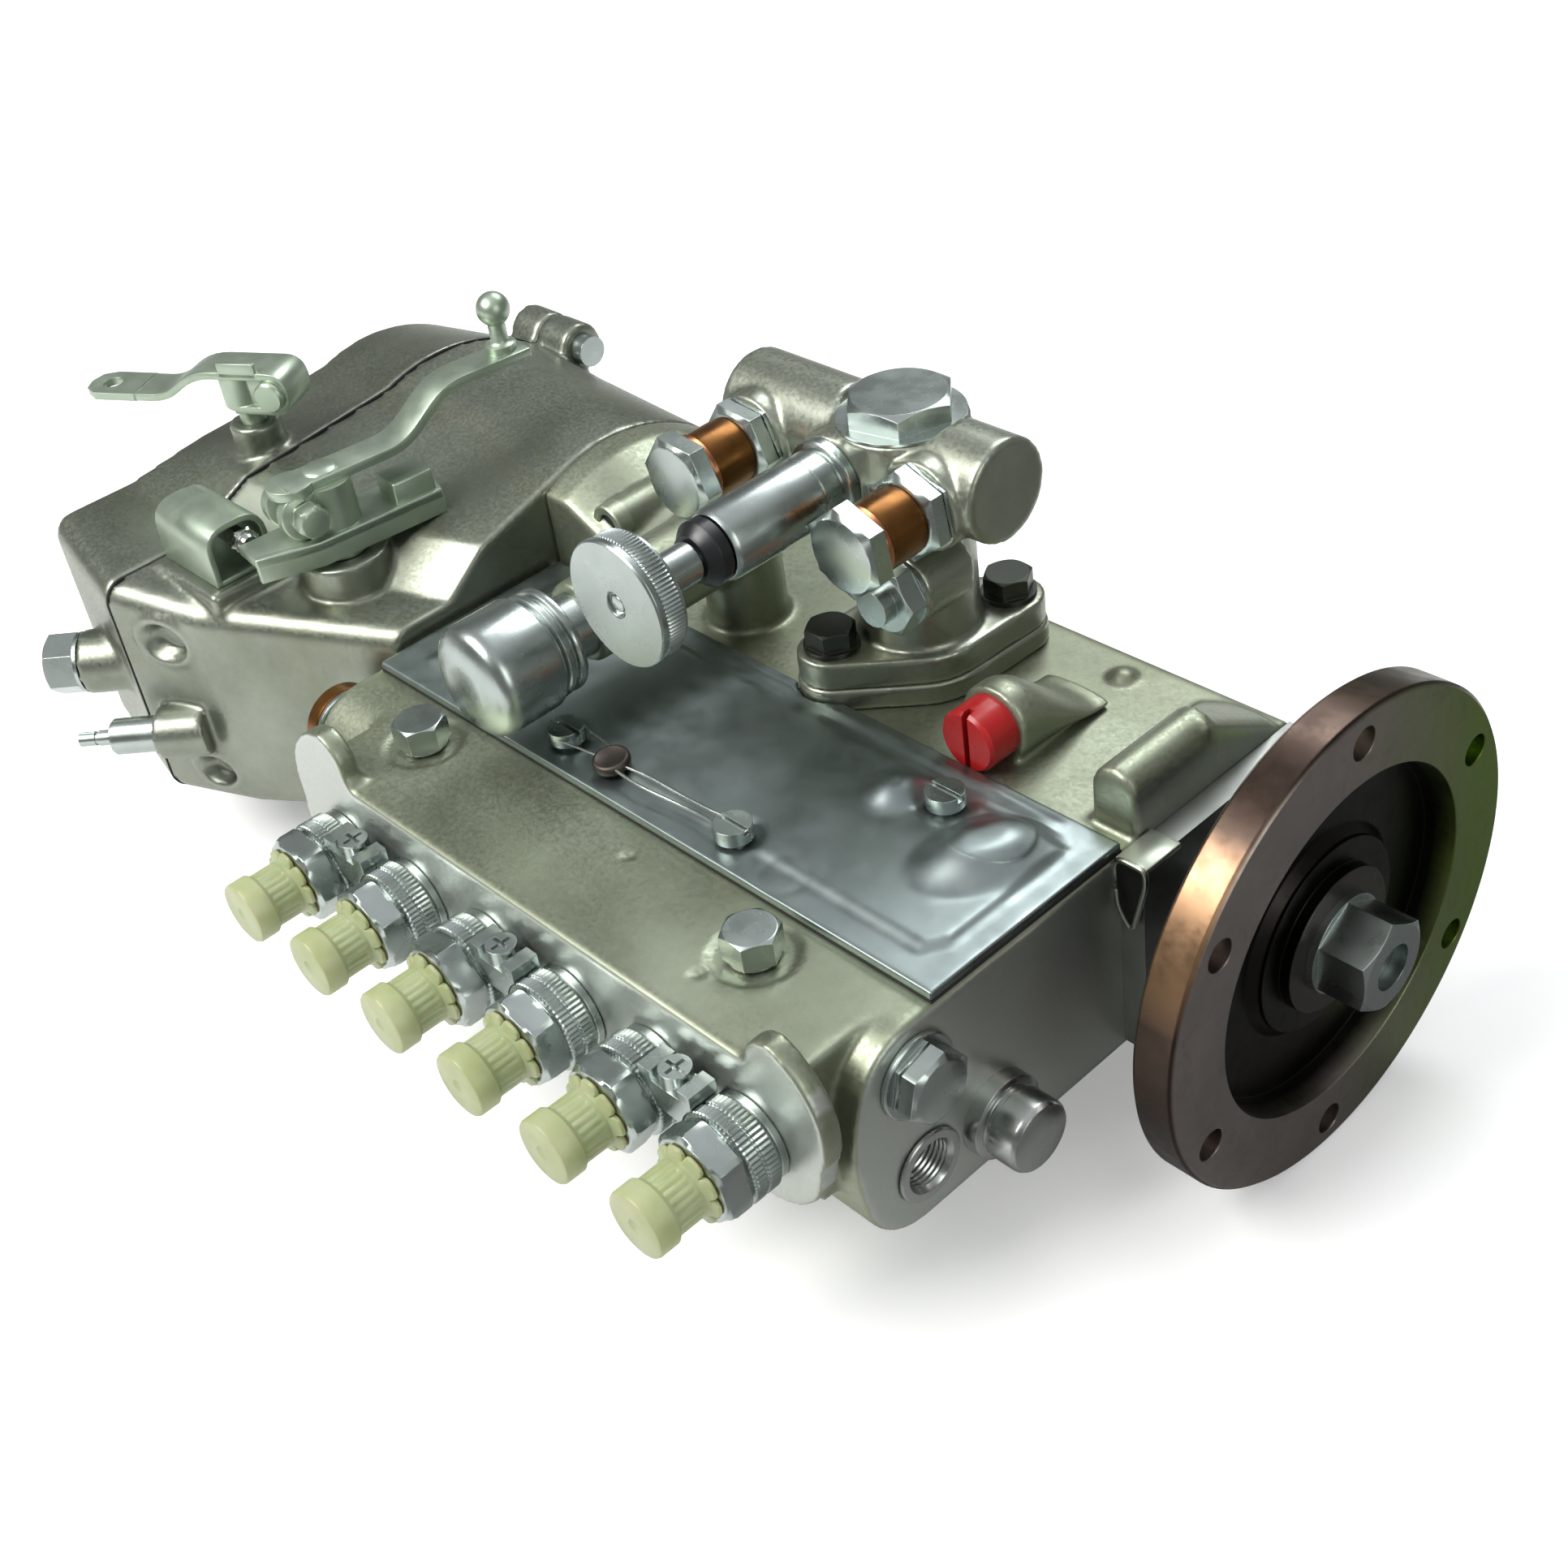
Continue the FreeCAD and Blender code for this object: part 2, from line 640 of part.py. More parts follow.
def make_elements():
    """The six elements: tappets with rollers and plungers, sleeves, seats, springs and barrels."""
    shell = new_body("tappet_shell", False)
    revolve(shell, [
        (0.0, TAPPET_LOW), (S.tappet_radius, TAPPET_LOW), (S.tappet_radius, TAPPET_TOP),
        (S.tappet_screw, TAPPET_TOP), (S.tappet_screw, SCREW_TOP), (0.0, SCREW_TOP)])
    slot_top = ROLLER_HEIGHT + S.roller_radius + 0.5
    slot = new_sketch(shell, "XY_Plane", slot_top)
    half_slot = S.roller_width / 2 + 0.3
    rectangle(slot, -half_slot, half_slot, -(S.tappet_radius + 1.0), S.tappet_radius + 1.0)
    pocket(shell, slot, slot_top - TAPPET_LOW + 1.0)
    pin_hole = circle(new_sketch(shell, "YZ_Plane", S.tappet_radius), S.roller_pin, 0.0, ROLLER_HEIGHT)
    pocket(shell, pin_hole, S.tappet_radius * 2)
    roller = turned("roller", [
        (S.roller_pin + S.running, -(S.roller_width / 2)), (S.roller_radius, -(S.roller_width / 2)),
        (S.roller_radius, S.roller_width / 2), (S.roller_pin + S.running, S.roller_width / 2)], False)
    roller_pin = turned("roller_pin", steps((S.roller_pin, 11.0), start=-11.0), False)
    plunger = turned("plunger", [
        (0.0, SCREW_TOP), (S.plunger_foot, SCREW_TOP), (S.plunger_foot, FOOT_TOP),
        (S.plunger_radius, FOOT_TOP), (S.plunger_radius, PLUNGER_TOP), (0.0, PLUNGER_TOP)], False)
    lower_seat = turned("lower_spring_seat", [
        (S.plunger_radius, FOOT_TOP), (S.seat_radius, FOOT_TOP), (S.seat_radius, LOWER_SEAT_TOP),
        (S.plunger_radius, LOWER_SEAT_TOP)], False)
    sleeve = new_body("control_sleeve", False)
    bore = S.barrel_spigot + S.running
    sleeve_low = LOWER_SEAT_TOP + 1.0
    revolve(sleeve, [
        (bore, sleeve_low), (SLEEVE_RADIUS, sleeve_low), (SLEEVE_RADIUS, S.head_low - 1.0),
        (bore, S.head_low - 1.0)])
    arm = new_sketch(sleeve, "XY_Plane", S.rack_height - S.arm_height / 2)
    rectangle(arm, -(S.arm_width / 2), S.arm_width / 2, -S.arm_radius, 0.8 - SLEEVE_RADIUS)
    pad(sleeve, arm, S.arm_height)
    arm_end = new_sketch(sleeve, "XY_Plane", S.rack_height - S.arm_height / 2)
    pad(sleeve, circle(arm_end, S.arm_pin, 0.0, -S.arm_radius), S.arm_height)
    barrel = turned("barrel", [
        (S.plunger_radius + S.running, S.deck_high), (S.barrel_spigot, S.deck_high),
        (S.barrel_spigot, S.head_low), (S.barrel_radius, S.head_low), (S.barrel_radius, BARREL_TOP),
        (S.plunger_radius + S.running, BARREL_TOP)], False)
    upper_seat = turned("upper_seat", [
        (SLEEVE_RADIUS + 0.3, UPPER_SEAT_LOW), (S.seat_radius, UPPER_SEAT_LOW), (S.seat_radius, S.deck_low),
        (SLEEVE_RADIUS + 0.3, S.deck_low)], False)
    places = [(element_x(index), 0.0, 0.0) for index in range(ELEMENTS)]
    rest_turn = Rotation(Vector(0, -1, 0), float(S.arm_swing) / 2)
    for index, (x, y, z) in enumerate(places):
        stack = []
        for piece in (shell, roller, roller_pin, plunger, lower_seat):
            link = doc.addObject("App::Link", "element_piece")
            link.LinkedObject = piece
            across = piece in (roller, roller_pin)
            place(link, x, -ROLLER_HEIGHT if across else y, z, ALONG_SHAFT if across else UPRIGHT)
            stack.append(link)
        node("pumping_element_%d" % (index + 1), stack)
        group("control_sleeve_%d" % (index + 1), sleeve, [(x, y, z)], rest_turn * UPRIGHT)
    group("barrels", barrel, places, UPRIGHT)
    group("upper_spring_seats", upper_seat, places, UPRIGHT)
    free = UPPER_SEAT_LOW - LOWER_SEAT_TOP - S.spring_wire
    spring = doc.addObject("Part::Feature", "plunger_spring")
    spring.Shape = coil_shape(float(S.spring_radius - S.spring_wire / 2), float(S.spring_wire) / 2, float(free))
    lift = LOWER_SEAT_TOP + S.spring_wire / 2
    group("plunger_springs", spring, [(x, -lift, z) for x, y, z in places], UPRIGHT)


def node(label, pieces):
    """Several pieces that move as one, as one node."""
    made = doc.addObject("Part::Compound", label)
    made.Label = label
    made.Links = pieces
    NODES.append(made)
    return made


def cam_outline(sketch):
    """Base circle, straight flanks and a round nose, the nose along the sketch's Y."""
    centre = S.cam_base + S.cam_lift - S.cam_nose
    turn = math.acos((S.cam_base - S.cam_nose) / centre)
    across = math.sin(turn)
    along = math.cos(turn)
    return outline(sketch, [
        (S.cam_base * across, S.cam_base * along),
        (S.cam_nose * across, centre + S.cam_nose * along),
        (0, 0.0, S.cam_base + S.cam_lift),
        (-(S.cam_nose * across), centre + S.cam_nose * along),
        (-(S.cam_base * across), S.cam_base * along),
        (0, 0.0, -S.cam_base),
    ])


FIRING_ANGLES = (30, 270, 150, 210, 90, 330)


def make_camshaft():
    """The camshaft with its cams, bearings, flange and nut."""
    shaft = new_body("camshaft")
    bearing_rear = S.housing_rear + S.bearing_width
    bearing_front = S.housing_front - S.bearing_width
    revolve(shaft, steps(
        (S.tail_radius, S.housing_rear - 1.0), (S.bearing_inner, bearing_rear), (S.core_radius, bearing_front),
        (S.bearing_inner, -30.0), (S.journal_radius, -2.0),
        (S.thread_radius, 9.0), start=S.tail_end))
    for index, angle in enumerate(FIRING_ANGLES):
        cam = new_sketch(shaft, "XY_Plane", element_x(index) - S.cam_width / 2, angle + 180)
        pad(shaft, cam_outline(cam), S.cam_width)
    centre_hole = new_sketch(shaft, "XY_Plane", 9.0)
    pocket(shaft, circle(centre_hole, 2.5), 6.0)
    place(shaft, turn=ALONG_SHAFT)
    outer_low = S.bearing_outer - S.ring_wall
    inner_high = S.bearing_inner + S.ring_wall
    outer = turned("outer_ring", [
        (outer_low, 0.0), (S.bearing_outer, 0.0), (S.bearing_outer, S.bearing_width),
        (outer_low, S.bearing_width)], False)
    inner = turned("inner_ring", [
        (S.bearing_inner, 0.0), (inner_high, 0.0), (inner_high, S.bearing_width),
        (S.bearing_inner, S.bearing_width)], False)
    roll_radius = (outer_low - inner_high) / 2 - S.running
    roll_circle = (outer_low + inner_high) / 2
    rolls = new_body("bearing_roller_set", False)
    row = new_sketch(rolls, "XY_Plane", 1.0)
    seats = [S.housing_rear, bearing_front]
    group("bearing_outer_rings", outer, [(x, 0.0, 0.0) for x in seats], ALONG_SHAFT)
    for number in range(ROLLERS):
        angle = 2 * math.pi * number / ROLLERS
        circle(row, roll_radius, roll_circle * math.cos(angle), roll_circle * math.sin(angle))
    pad(rolls, row, S.bearing_width - 2.0)
    rolls.AllowCompound = True
    moving = []
    for x in seats:
        for piece in (inner, rolls):
            link = doc.addObject("App::Link", "bearing_piece")
            link.LinkedObject = piece
            moving.append(place(link, x, 0.0, 0.0, ALONG_SHAFT))
    node("bearing_inner_rings", moving)


def make_coupling():
    flange = new_body("coupling_flange")
    web_front = -S.recess_depth
    web_back = web_front - S.web_thickness
    bore = S.journal_radius + S.seat_gap
    revolve(flange, [
        (bore, -30.0), (S.hub_radius, -30.0), (S.hub_radius, web_back - 6.0), (S.hub_radius + 6.0, web_back),
        (S.recess_radius, web_back), (S.recess_radius + 2.0, -S.rim_width), (S.flange_radius - 1.0, -S.rim_width),
        (S.flange_radius, 1.0 - S.rim_width), (S.flange_radius, -1.0), (S.flange_radius - 1.0, 0.0),
        (S.recess_radius, 0.0), (S.recess_radius - 1.5, web_front), (S.collar_radius + 2.5, web_front),
        (S.collar_radius, web_front + 2.0), (S.collar_radius, web_front + 3.0), (S.collar_step, web_front + 3.0),
        (S.collar_step, -2.0), (bore, -2.0)])
    holes = new_sketch(flange, "XY_Plane", 0.0)
    for number in range(6):
        angle = math.radians(2.9 + 60 * number)
        circle(holes, S.bolt_hole, -(S.bolt_circle * math.cos(angle)), S.bolt_circle * math.sin(angle))
    pocket(flange, holes, S.rim_width + 1.0)
    place(flange, turn=ALONG_SHAFT)
    nut = new_body("shaft_nut")
    pad(nut, circle(new_sketch(nut, "XY_Plane", -2.0), S.collar_step - 6.0), 2.0)
    hex_stage(nut, S.nut_flats, Size(0.0), S.nut_end)
    pocket(nut, circle(new_sketch(nut, "XY_Plane", S.nut_end), S.thread_radius + S.running), S.nut_end + 3.0)
    place(nut, turn=ALONG_SHAFT)


def end_plate_outline():
    top = math.asin(S.side_face / S.rear_radius)
    low = -math.asin(S.bottom_face / S.rear_radius)
    middle = (top + low) / 2
    reach = -S.end_plate_reach
    return [
        (reach, 3.0 - S.bottom_face), (0, reach + 0.9, 0.9 - S.bottom_face), (reach + 3.0, -S.bottom_face),
        (S.rear_radius * math.cos(low), -S.bottom_face),
        (0, S.rear_radius * math.cos(middle), S.rear_radius * math.sin(middle)),
        (S.rear_radius * math.cos(top), S.side_face),
        (reach + 3.0, S.side_face), (0, reach + 0.9, S.side_face - 0.9), (reach, S.side_face - 3.0)]


def make_drive_end():
    """End plate with the shaft seal, pointer, rack cap, fuel port and plugs."""
    plate = new_body("drive_end_plate")
    pad(plate, outline(new_sketch(plate, "YZ_Plane", S.housing_front), end_plate_outline()), S.end_plate)
    outside = S.housing_front + S.end_plate
    pocket(plate, circle(new_sketch(plate, "YZ_Plane", outside), S.seal_radius), S.end_plate)
    seal = turned("shaft_seal", [
        (S.bearing_inner + S.running, 0.0), (S.seal_radius, 0.0), (S.seal_radius, S.end_plate - 1.0),
        (11.0, S.end_plate - 1.0), (S.bearing_inner + S.running, 3.0)])
    place(seal, S.housing_front, 0.0, 0.0, ALONG_SHAFT)
    pointer = new_body("timing_pointer")
    left = S.housing_front + 0.2
    top = S.side_face + 1.6
    hanging = new_sketch(pointer, "XZ_Plane", S.end_plate_reach + 0.5)
    outline(hanging, [(left, top), (-34.0, top), (-34.0, 20.0), (-38.5, 3.0), (-42.5, 10.0), (left, 16.0)])
    pad(pointer, hanging, 1.6)
    tab = new_sketch(pointer, "XY_Plane", S.side_face)
    pad(pointer, rectangle(tab, left, -34.0, -(S.end_plate_reach + 2.1), -17.0), 1.6)
    cap = turned("rack_end_cap", [
        (0.0, 14.5), (9.0, 14.5), (9.6, 13.5), (9.6, 4.2), (11.2, 4.2), (11.2, 0.0), (6.0, 0.0), (6.0, 11.0),
        (0.0, 11.0)])
    place(cap, S.housing_front, -S.rack_height, -S.rack_offset, ALONG_SHAFT)
    sleeve = turned("fuel_port_sleeve", [
        (S.port_radius, -20.0), (S.port_radius + 1.58, -20.0), (S.port_radius + 1.58, 0.0),
        (S.port_radius + 3.4, 0.0), (S.port_radius + 3.4, 1.2), (S.port_radius + 0.8, 1.2), (S.port_radius, 0.4)])
    place(sleeve, S.housing_front, -S.port_height, -S.port_offset, ALONG_SHAFT)
    plug = turned("gallery_plug", steps((6.95, 0.0), (11.0, 1.6), start=-11.0), False)
    hex_stage(plug, Size(17.0), Size(1.6), Size(8.5))
    front = doc.addObject("App::Link", "front_gallery_plug")
    front.LinkedObject = plug
    place(front, S.housing_front, -99.6, 8.0, ALONG_SHAFT)
    rear = doc.addObject("App::Link", "rear_gallery_plug")
    rear.LinkedObject = plug
    place(rear, S.housing_rear, -104.5, 10.0, Rotation(Vector(0, 1, 0), -90))
    node("gallery_plugs", [front, rear])
    vent = turned("vent_plug", [
        (0.0, -8.0), (5.0, -8.0), (5.0, 0.0), (8.6, 0.0), (8.6, 9.0), (7.8, 10.0), (0.0, 10.0)])
    slot = new_sketch(vent, "XY_Plane", 10.0)
    pocket(vent, rectangle(slot, -0.9, 0.9, -9.0, 9.0), 3.0)
    place(vent, -93.0, -16.0, 32.0, UPRIGHT)


def make_valve_row():
    """Delivery valves under their holders, protection caps and locking clamps."""
    face = -VALVE_FACE
    places = [(element_x(index), face, 0.0) for index in range(ELEMENTS)]
    holder = turned("valve_holder", [
        (5.0, -5.0), (9.9, -5.0), (9.9, 0.0), (S.holder_ring, 0.0), (S.holder_ring, S.ring_height),
        (S.collar_knurl, S.ring_height), (S.collar_knurl, S.knurl_top), (S.outlet_radius, S.knurl_top),
        (S.outlet_radius, S.outlet_top - 1.5), (S.outlet_radius - 1.5, S.outlet_top), (1.5, S.outlet_top),
        (1.5, 16.0), (5.0, 16.0)], False)
    hex_ring = new_sketch(holder, "XY_Plane", S.knurl_top)
    hexagon(hex_ring, S.holder_flats)
    circle(hex_ring, S.outlet_radius - 0.5)
    pad(holder, hex_ring, S.holder_hex_top - S.knurl_top)
    corner = S.holder_flats * 0.6
    revolve(holder, [
        (S.holder_flats * 0.485, S.holder_hex_top), (corner, S.holder_hex_top - 1.3),
        (corner, S.holder_hex_top + 1.0), (S.holder_flats * 0.485, S.holder_hex_top + 1.0)], cut=True)
    group("delivery_valve_holders", holder, places, UPRIGHT)
    valve = turned("delivery_valve", [
        (1.5, -9.0), (9.9, -9.0), (9.9, -5.0), (4.9, -5.0), (4.9, 1.0), (3.6, 1.0), (3.0, 6.0), (1.5, 6.0)], False)
    group("delivery_valves", valve, places, UPRIGHT)
    bore = S.outlet_radius + S.running
    cap = turned("protection_cap", [
        (bore, S.holder_hex_top + 0.2), (S.cap_skirt, S.holder_hex_top + 0.2), (S.cap_skirt, 20.6),
        (S.cap_barrel, 21.2), (S.cap_barrel, 28.6), (S.cap_disc, 29.2), (S.cap_disc, S.cap_top - 0.6),
        (S.cap_disc - 0.6, S.cap_top), (0.0, S.cap_top), (0.0, S.outlet_top + 0.1), (bore, S.outlet_top + 0.1)],
        False)
    group("protection_caps", cap, places, UPRIGHT)
    clamp = new_body("holder_clamp", False)
    half = S.element_pitch / 2
    near = S.collar_knurl + 0.05

    def flank(height):
        return half - math.sqrt(near * near - height * height)

    profile = new_sketch(clamp, "XZ_Plane", 2.4)
    outline(profile, [
        (-flank(3.0), 3.0), (flank(3.0), 3.0), (0, flank(7.0), 7.0), (flank(10.0), 10.0), (flank(10.0), 14.0),
        (4.6, 14.0), (4.6, 11.0), (-4.6, 11.0), (-4.6, 14.0), (-flank(10.0), 14.0), (-flank(10.0), 10.0),
        (0, -flank(7.0), 7.0)])
    pad(clamp, profile, 8.0)
    middles = [(element_x(index) - half, face, 0.0) for index in (0, 2, 4)]
    group("holder_clamps", clamp, middles)
    screw = turned("clamp_screw", steps((4.0, 4.4)), False)
    for turn in (0.0, 90.0):
        cross = new_sketch(screw, "XY_Plane", 4.4, turn)
        pocket(screw, rectangle(cross, -2.8, 2.8, -0.5, 0.5), 1.4)
    group("clamp_screws", screw, [(x, face - 6.4, 11.0) for x, y, z in middles])
    bolt = new_body("head_bolt", False)
    revolve(bolt, steps((4.0, 0.0), (6.4, 0.8), start=-12.0))
    hex_stage(bolt, Size(13.0), Size(0.8), Size(8.0))
    group("head_bolts", bolt, [(x, y, S.side_face) for x, y in HEAD_BOLTS])


HEAD_BOLTS = ((-217.6, -104.8), (-86.6, -105.4))


def make_rack():
    rack = new_body("control_rack")
    left = S.lever_x + 3.0
    right = S.housing_front + 10.55
    section = circle(new_sketch(rack, "YZ_Plane", left), S.rack_radius, -S.rack_height, -S.rack_offset)
    pad(rack, section, right - left)
    fork_x = S.lever_x + S.rack_stroke / 2
    fork = new_sketch(rack, "XY_Plane", -(S.rack_offset + 4.0))
    half_fork = S.link_pin + 0.2
    outline(fork, [
        (fork_x - 6.5, -S.rack_height), (fork_x + 6.5, -S.rack_height), (fork_x + 6.5, -47.5),
        (fork_x + half_fork, -47.5), (fork_x + half_fork, -60.0), (fork_x - half_fork, -60.0),
        (fork_x - half_fork, -47.5), (fork_x - 6.5, -47.5)])
    pad(rack, fork, 7.0)
    slots = new_sketch(rack, "XZ_Plane", S.rack_height + S.rack_radius + 1.0)
    half_slot = S.arm_pin + S.slot_play
    reach = S.rack_stroke / 2
    for index in range(ELEMENTS):
        middle = element_x(index) + reach
        rectangle(slots, middle - half_slot, middle + half_slot, -(S.arm_radius + S.arm_pin + 0.5),
                  S.rack_radius - S.rack_offset + 1.0)
    pocket(rack, slots, S.rack_radius * 2 + 2.0)


def tangent_outline(sketch, centre_radius, ear_radius, distance):
    """A round middle with an ear at each end, joined by straight tangents."""
    turn = math.acos((centre_radius - ear_radius) / distance)
    along = math.cos(turn)
    across = math.sin(turn)
    ear_x = distance + ear_radius * along
    ear_y = ear_radius * across
    mid_x = centre_radius * along
    mid_y = centre_radius * across
    return outline(sketch, [
        (ear_x, -ear_y), (0, distance + ear_radius, 0.0), (ear_x, ear_y),
        (mid_x, mid_y), (0, 0.0, centre_radius), (-mid_x, mid_y),
        (-ear_x, ear_y), (0, -(distance + ear_radius), 0.0), (-ear_x, -ear_y),
        (-mid_x, -mid_y), (0, 0.0, -centre_radius), (mid_x, -mid_y)])


def make_feed_pump():
    """Piston feed pump standing on the cover side, with its hand primer."""
    base = S.side_face
    turn = float(S.stud_angle)
    studs = [(S.stud_distance * math.cos(math.radians(turn)) * sign,
              S.stud_distance * math.sin(math.radians(turn)) * sign) for sign in (1, -1)]
    adapter = new_body("feed_pump_adapter")
    foot = new_sketch(adapter, "XY_Plane", 0.0, turn)
    tangent_outline(foot, S.foot_radius + 0.5, S.foot_ear + 0.5, S.stud_distance)
    circle(foot, 12.05)
    pad(adapter, foot, S.adapter)
    for x, y in studs:
        pocket(adapter, circle(new_sketch(adapter, "XY_Plane", S.adapter), 4.0, x, y), S.adapter)
    place(adapter, S.feed_x, S.feed_y, base)
    body = new_body("feed_pump_body")
    low = S.adapter
    plate = new_sketch(body, "XY_Plane", low, turn)
    tangent_outline(plate, S.foot_radius, S.foot_ear, S.stud_distance)
    pad(body, plate, S.foot_plate)
    gallery = S.gallery_height - S.side_face
    neck = new_sketch(body, "XY_Plane", low)
    pad(body, circle(neck, S.feed_neck), gallery - low)
    along = new_sketch(body, "YZ_Plane", -S.gallery_left)
    pad(body, circle(along, S.gallery_radius, 0.0, gallery), S.gallery_left + S.gallery_right)
    head = new_sketch(body, "XY_Plane", gallery)
    pad(body, circle(head, S.feed_neck + 1.0), PLUG_TOP - 6.5 - S.gallery_height)
    for x in (S.banjo_right, S.banjo_left):
        seat = new_sketch(body, "XZ_Plane", 0.0)
        pad(body, circle(seat, 12.0, x, gallery - 2.0), 15.0)
    primer_seat = new_sketch(body, "XZ_Plane", 0.0)
    pad(body, circle(primer_seat, 11.5, S.primer_shift, gallery - 2.0), 17.5)
    side_seat = new_sketch(body, "XZ_Plane", 0.0)
    pad(body, circle(side_seat, 9.5, 12.0, gallery - 27.0), 17.0)
    bore = new_sketch(body, "XY_Plane", low)
    pocket(body, circle(bore, 12.05), gallery - low - 4.0, back=True)
    for x, y in studs:
        pocket(body, circle(new_sketch(body, "XY_Plane", low + S.foot_plate), 4.0, x, y), S.foot_plate)
    primer_bore = new_sketch(body, "XZ_Plane", 18.0)
    pocket(body, circle(primer_bore, 6.0, S.primer_shift, gallery - 2.0), 14.0)
    crest = new_sketch(body, "XY_Plane", gallery + S.gallery_radius + 1.0)
    pocket(body, circle(crest, S.feed_neck + 1.0), S.gallery_height + S.gallery_radius + 7.5 - PLUG_TOP)
    place(body, S.feed_x, S.feed_y, base)
    stud = turned("feed_pump_stud", steps((3.95, 21.0), start=0.0), False)
    nut_low = S.adapter + S.foot_plate
    pad(stud, circle(new_sketch(stud, "XY_Plane", nut_low), 7.5), 1.4)
    hex_stage(stud, Size(12.0), nut_low + 1.4, nut_low + 6.6)
    group("feed_pump_nuts", stud, [(S.feed_x + x, S.feed_y + y, base) for x, y in studs])
    plug = turned("feed_pump_plug_piece", steps((16.5, 0.8)), False)
    hex_stage(plug, S.plug_flats, Size(0.8), Size(6.5), turn=12)
    high = doc.addObject("App::Link", "top_plug")
    high.LinkedObject = plug
    place(high, S.feed_x, S.feed_y, PLUG_TOP - 6.5)
    side = turned("side_valve_plug", steps((9.4, 1.2)), False)
    hex_stage(side, Size(17.0), Size(1.2), Size(7.0))
    pad(side, circle(new_sketch(side, "XY_Plane", 7.0), 5.0), 4.0)
    side_link = doc.addObject("App::Link", "side_plug")
    side_link.LinkedObject = side
    place(side_link, S.feed_x + 12.0, S.feed_y - 17.0, S.gallery_height - 27.0, UPRIGHT)
    node("feed_pump_plugs", [high, side_link])
    banjo = turned("banjo_bolt", steps((12.0, 1.0), start=0.0), False)
    hex_stage(banjo, S.banjo_flats, Size(1.0), Size(6.5), chamfer=False)
    pad(banjo, circle(new_sketch(banjo, "XY_Plane", 6.5), 5.0), 17.5)
    hex_stage(banjo, S.banjo_flats, Size(20.5), Size(27.0))
    banjo_places = [(S.feed_x + x, S.feed_y - 15.0, S.gallery_height - 2.0) for x in (S.banjo_right, S.banjo_left)]
    group("banjo_bolts", banjo, banjo_places, UPRIGHT)
    copper = turned("banjo_sleeve", [
        (5.0, 6.5), (8.8, 6.5), (8.8, 19.0), (9.6, 19.4), (9.6, 20.5), (5.0, 20.5)], False)
    group("banjo_sleeves", copper, banjo_places, UPRIGHT)


def make_primer():
    """Hand primer: a barrel in the feed pump's side and a piston with a knurled knob."""
    front = S.primer_end
    barrel = turned("primer_barrel", [
        (5.95, 4.0), (5.95, 17.5), (11.2, 17.5), (11.2, 20.5), (S.primer_radius, 21.5), (S.primer_radius, front),
        (S.primer_radius - 0.8, front + 0.8), (4.05, front + 0.8), (4.05, front - 5.0), (5.0, front - 5.0),
        (5.0, 4.0)])
    x = S.feed_x + S.primer_shift
    z = S.gallery_height - 2.0
    place(barrel, x, S.feed_y, z, UPRIGHT)
    knob_low = S.knob_end - 9.0
    piston = turned("primer_piston", [
        (0.0, 16.0), (4.95, 16.0), (4.95, 24.0), (4.0, 24.0), (4.0, front + 1.2), (8.6, front + 1.2),
        (8.6, front + 7.0), (6.6, front + 8.0), (6.6, knob_low - 4.0), (8.4, knob_low - 3.0), (8.4, knob_low),
        (S.knob_radius - 0.6, knob_low), (S.knob_radius, knob_low + 0.6), (S.knob_radius, S.knob_end - 0.6),
        (S.knob_radius - 0.6, S.knob_end), (3.2, S.knob_end), (3.2, S.knob_end - 1.2), (0.0, S.knob_end - 1.2)])
    place(piston, x, S.feed_y, z, UPRIGHT)
    # The feed pump's own tappet and piston, driven by the third element's cam
    height = ROLLER_HEIGHT
    shell = turned("feed_tappet_shell", steps((12.0, height + 28.0), start=height - 4.0), False)
    slot = new_sketch(shell, "XY_Plane", height + S.roller_radius + 0.5)
    pocket(shell, rectangle(slot, -4.3, 4.3, -13.0, 13.0), 15.0)
    roller = turned("feed_roller", steps((S.roller_radius, 4.0), start=-4.0), False)
    feed_shell = doc.addObject("App::Link", "feed_shell")
    feed_shell.LinkedObject = shell
    place(feed_shell, S.feed_x, S.feed_y, 0.0)
    feed_roller = doc.addObject("App::Link", "feed_roller_link")
    feed_roller.LinkedObject = roller
    place(feed_roller, S.feed_x, S.feed_y, height, ALONG_SHAFT)
    node("feed_pump_tappet", [feed_shell, feed_roller])


def make_breather():
    cap = turned("breather_cap", [
        (0.0, 12.0), (7.0, 12.0), (7.0, 26.0), (9.0, 26.0), (9.0, 34.0), (14.0, 34.0), (14.6, 34.6), (14.6, 36.4), (13.8, 37.0),
        (13.8, 38.0), (14.6, 38.4), (14.6, 40.0), (13.8, 40.6), (13.8, 41.6), (15.8, 42.4), (15.8, 53.0),
        (0, 13.4, 60.0), (8.0, 62.0), (0.0, 63.0)])
    place(cap, -192.0, -40.0, 50.0, UPRIGHT)


def case_outline(sketch, radius, box, top, low, drop, inset=0.0):
    """Governor section on Y and Z: a round weight case with a box for the linkage on its valve side."""
    r = radius - inset
    left = inset - box
    high = top - inset
    bottom = inset - low
    shoulder = r * -0.35
    crest = math.sqrt(r * r - shoulder * shoulder)
    meet = -math.sqrt(r * r - bottom * bottom)
    corner = 7.0
    bend = corner * (1 - math.sqrt(0.5))
    return outline(sketch, [
        (meet, bottom), (0, r * math.cos(0.2), -(r * math.sin(0.2))), (shoulder, crest),
        (left * 0.58, crest - drop), (left * 0.76, high), (left + corner, high),
        (0, left + bend, high - bend), (left, high - corner), (left, bottom + corner),
        (0, left + bend, bottom + bend), (left + corner, bottom)])


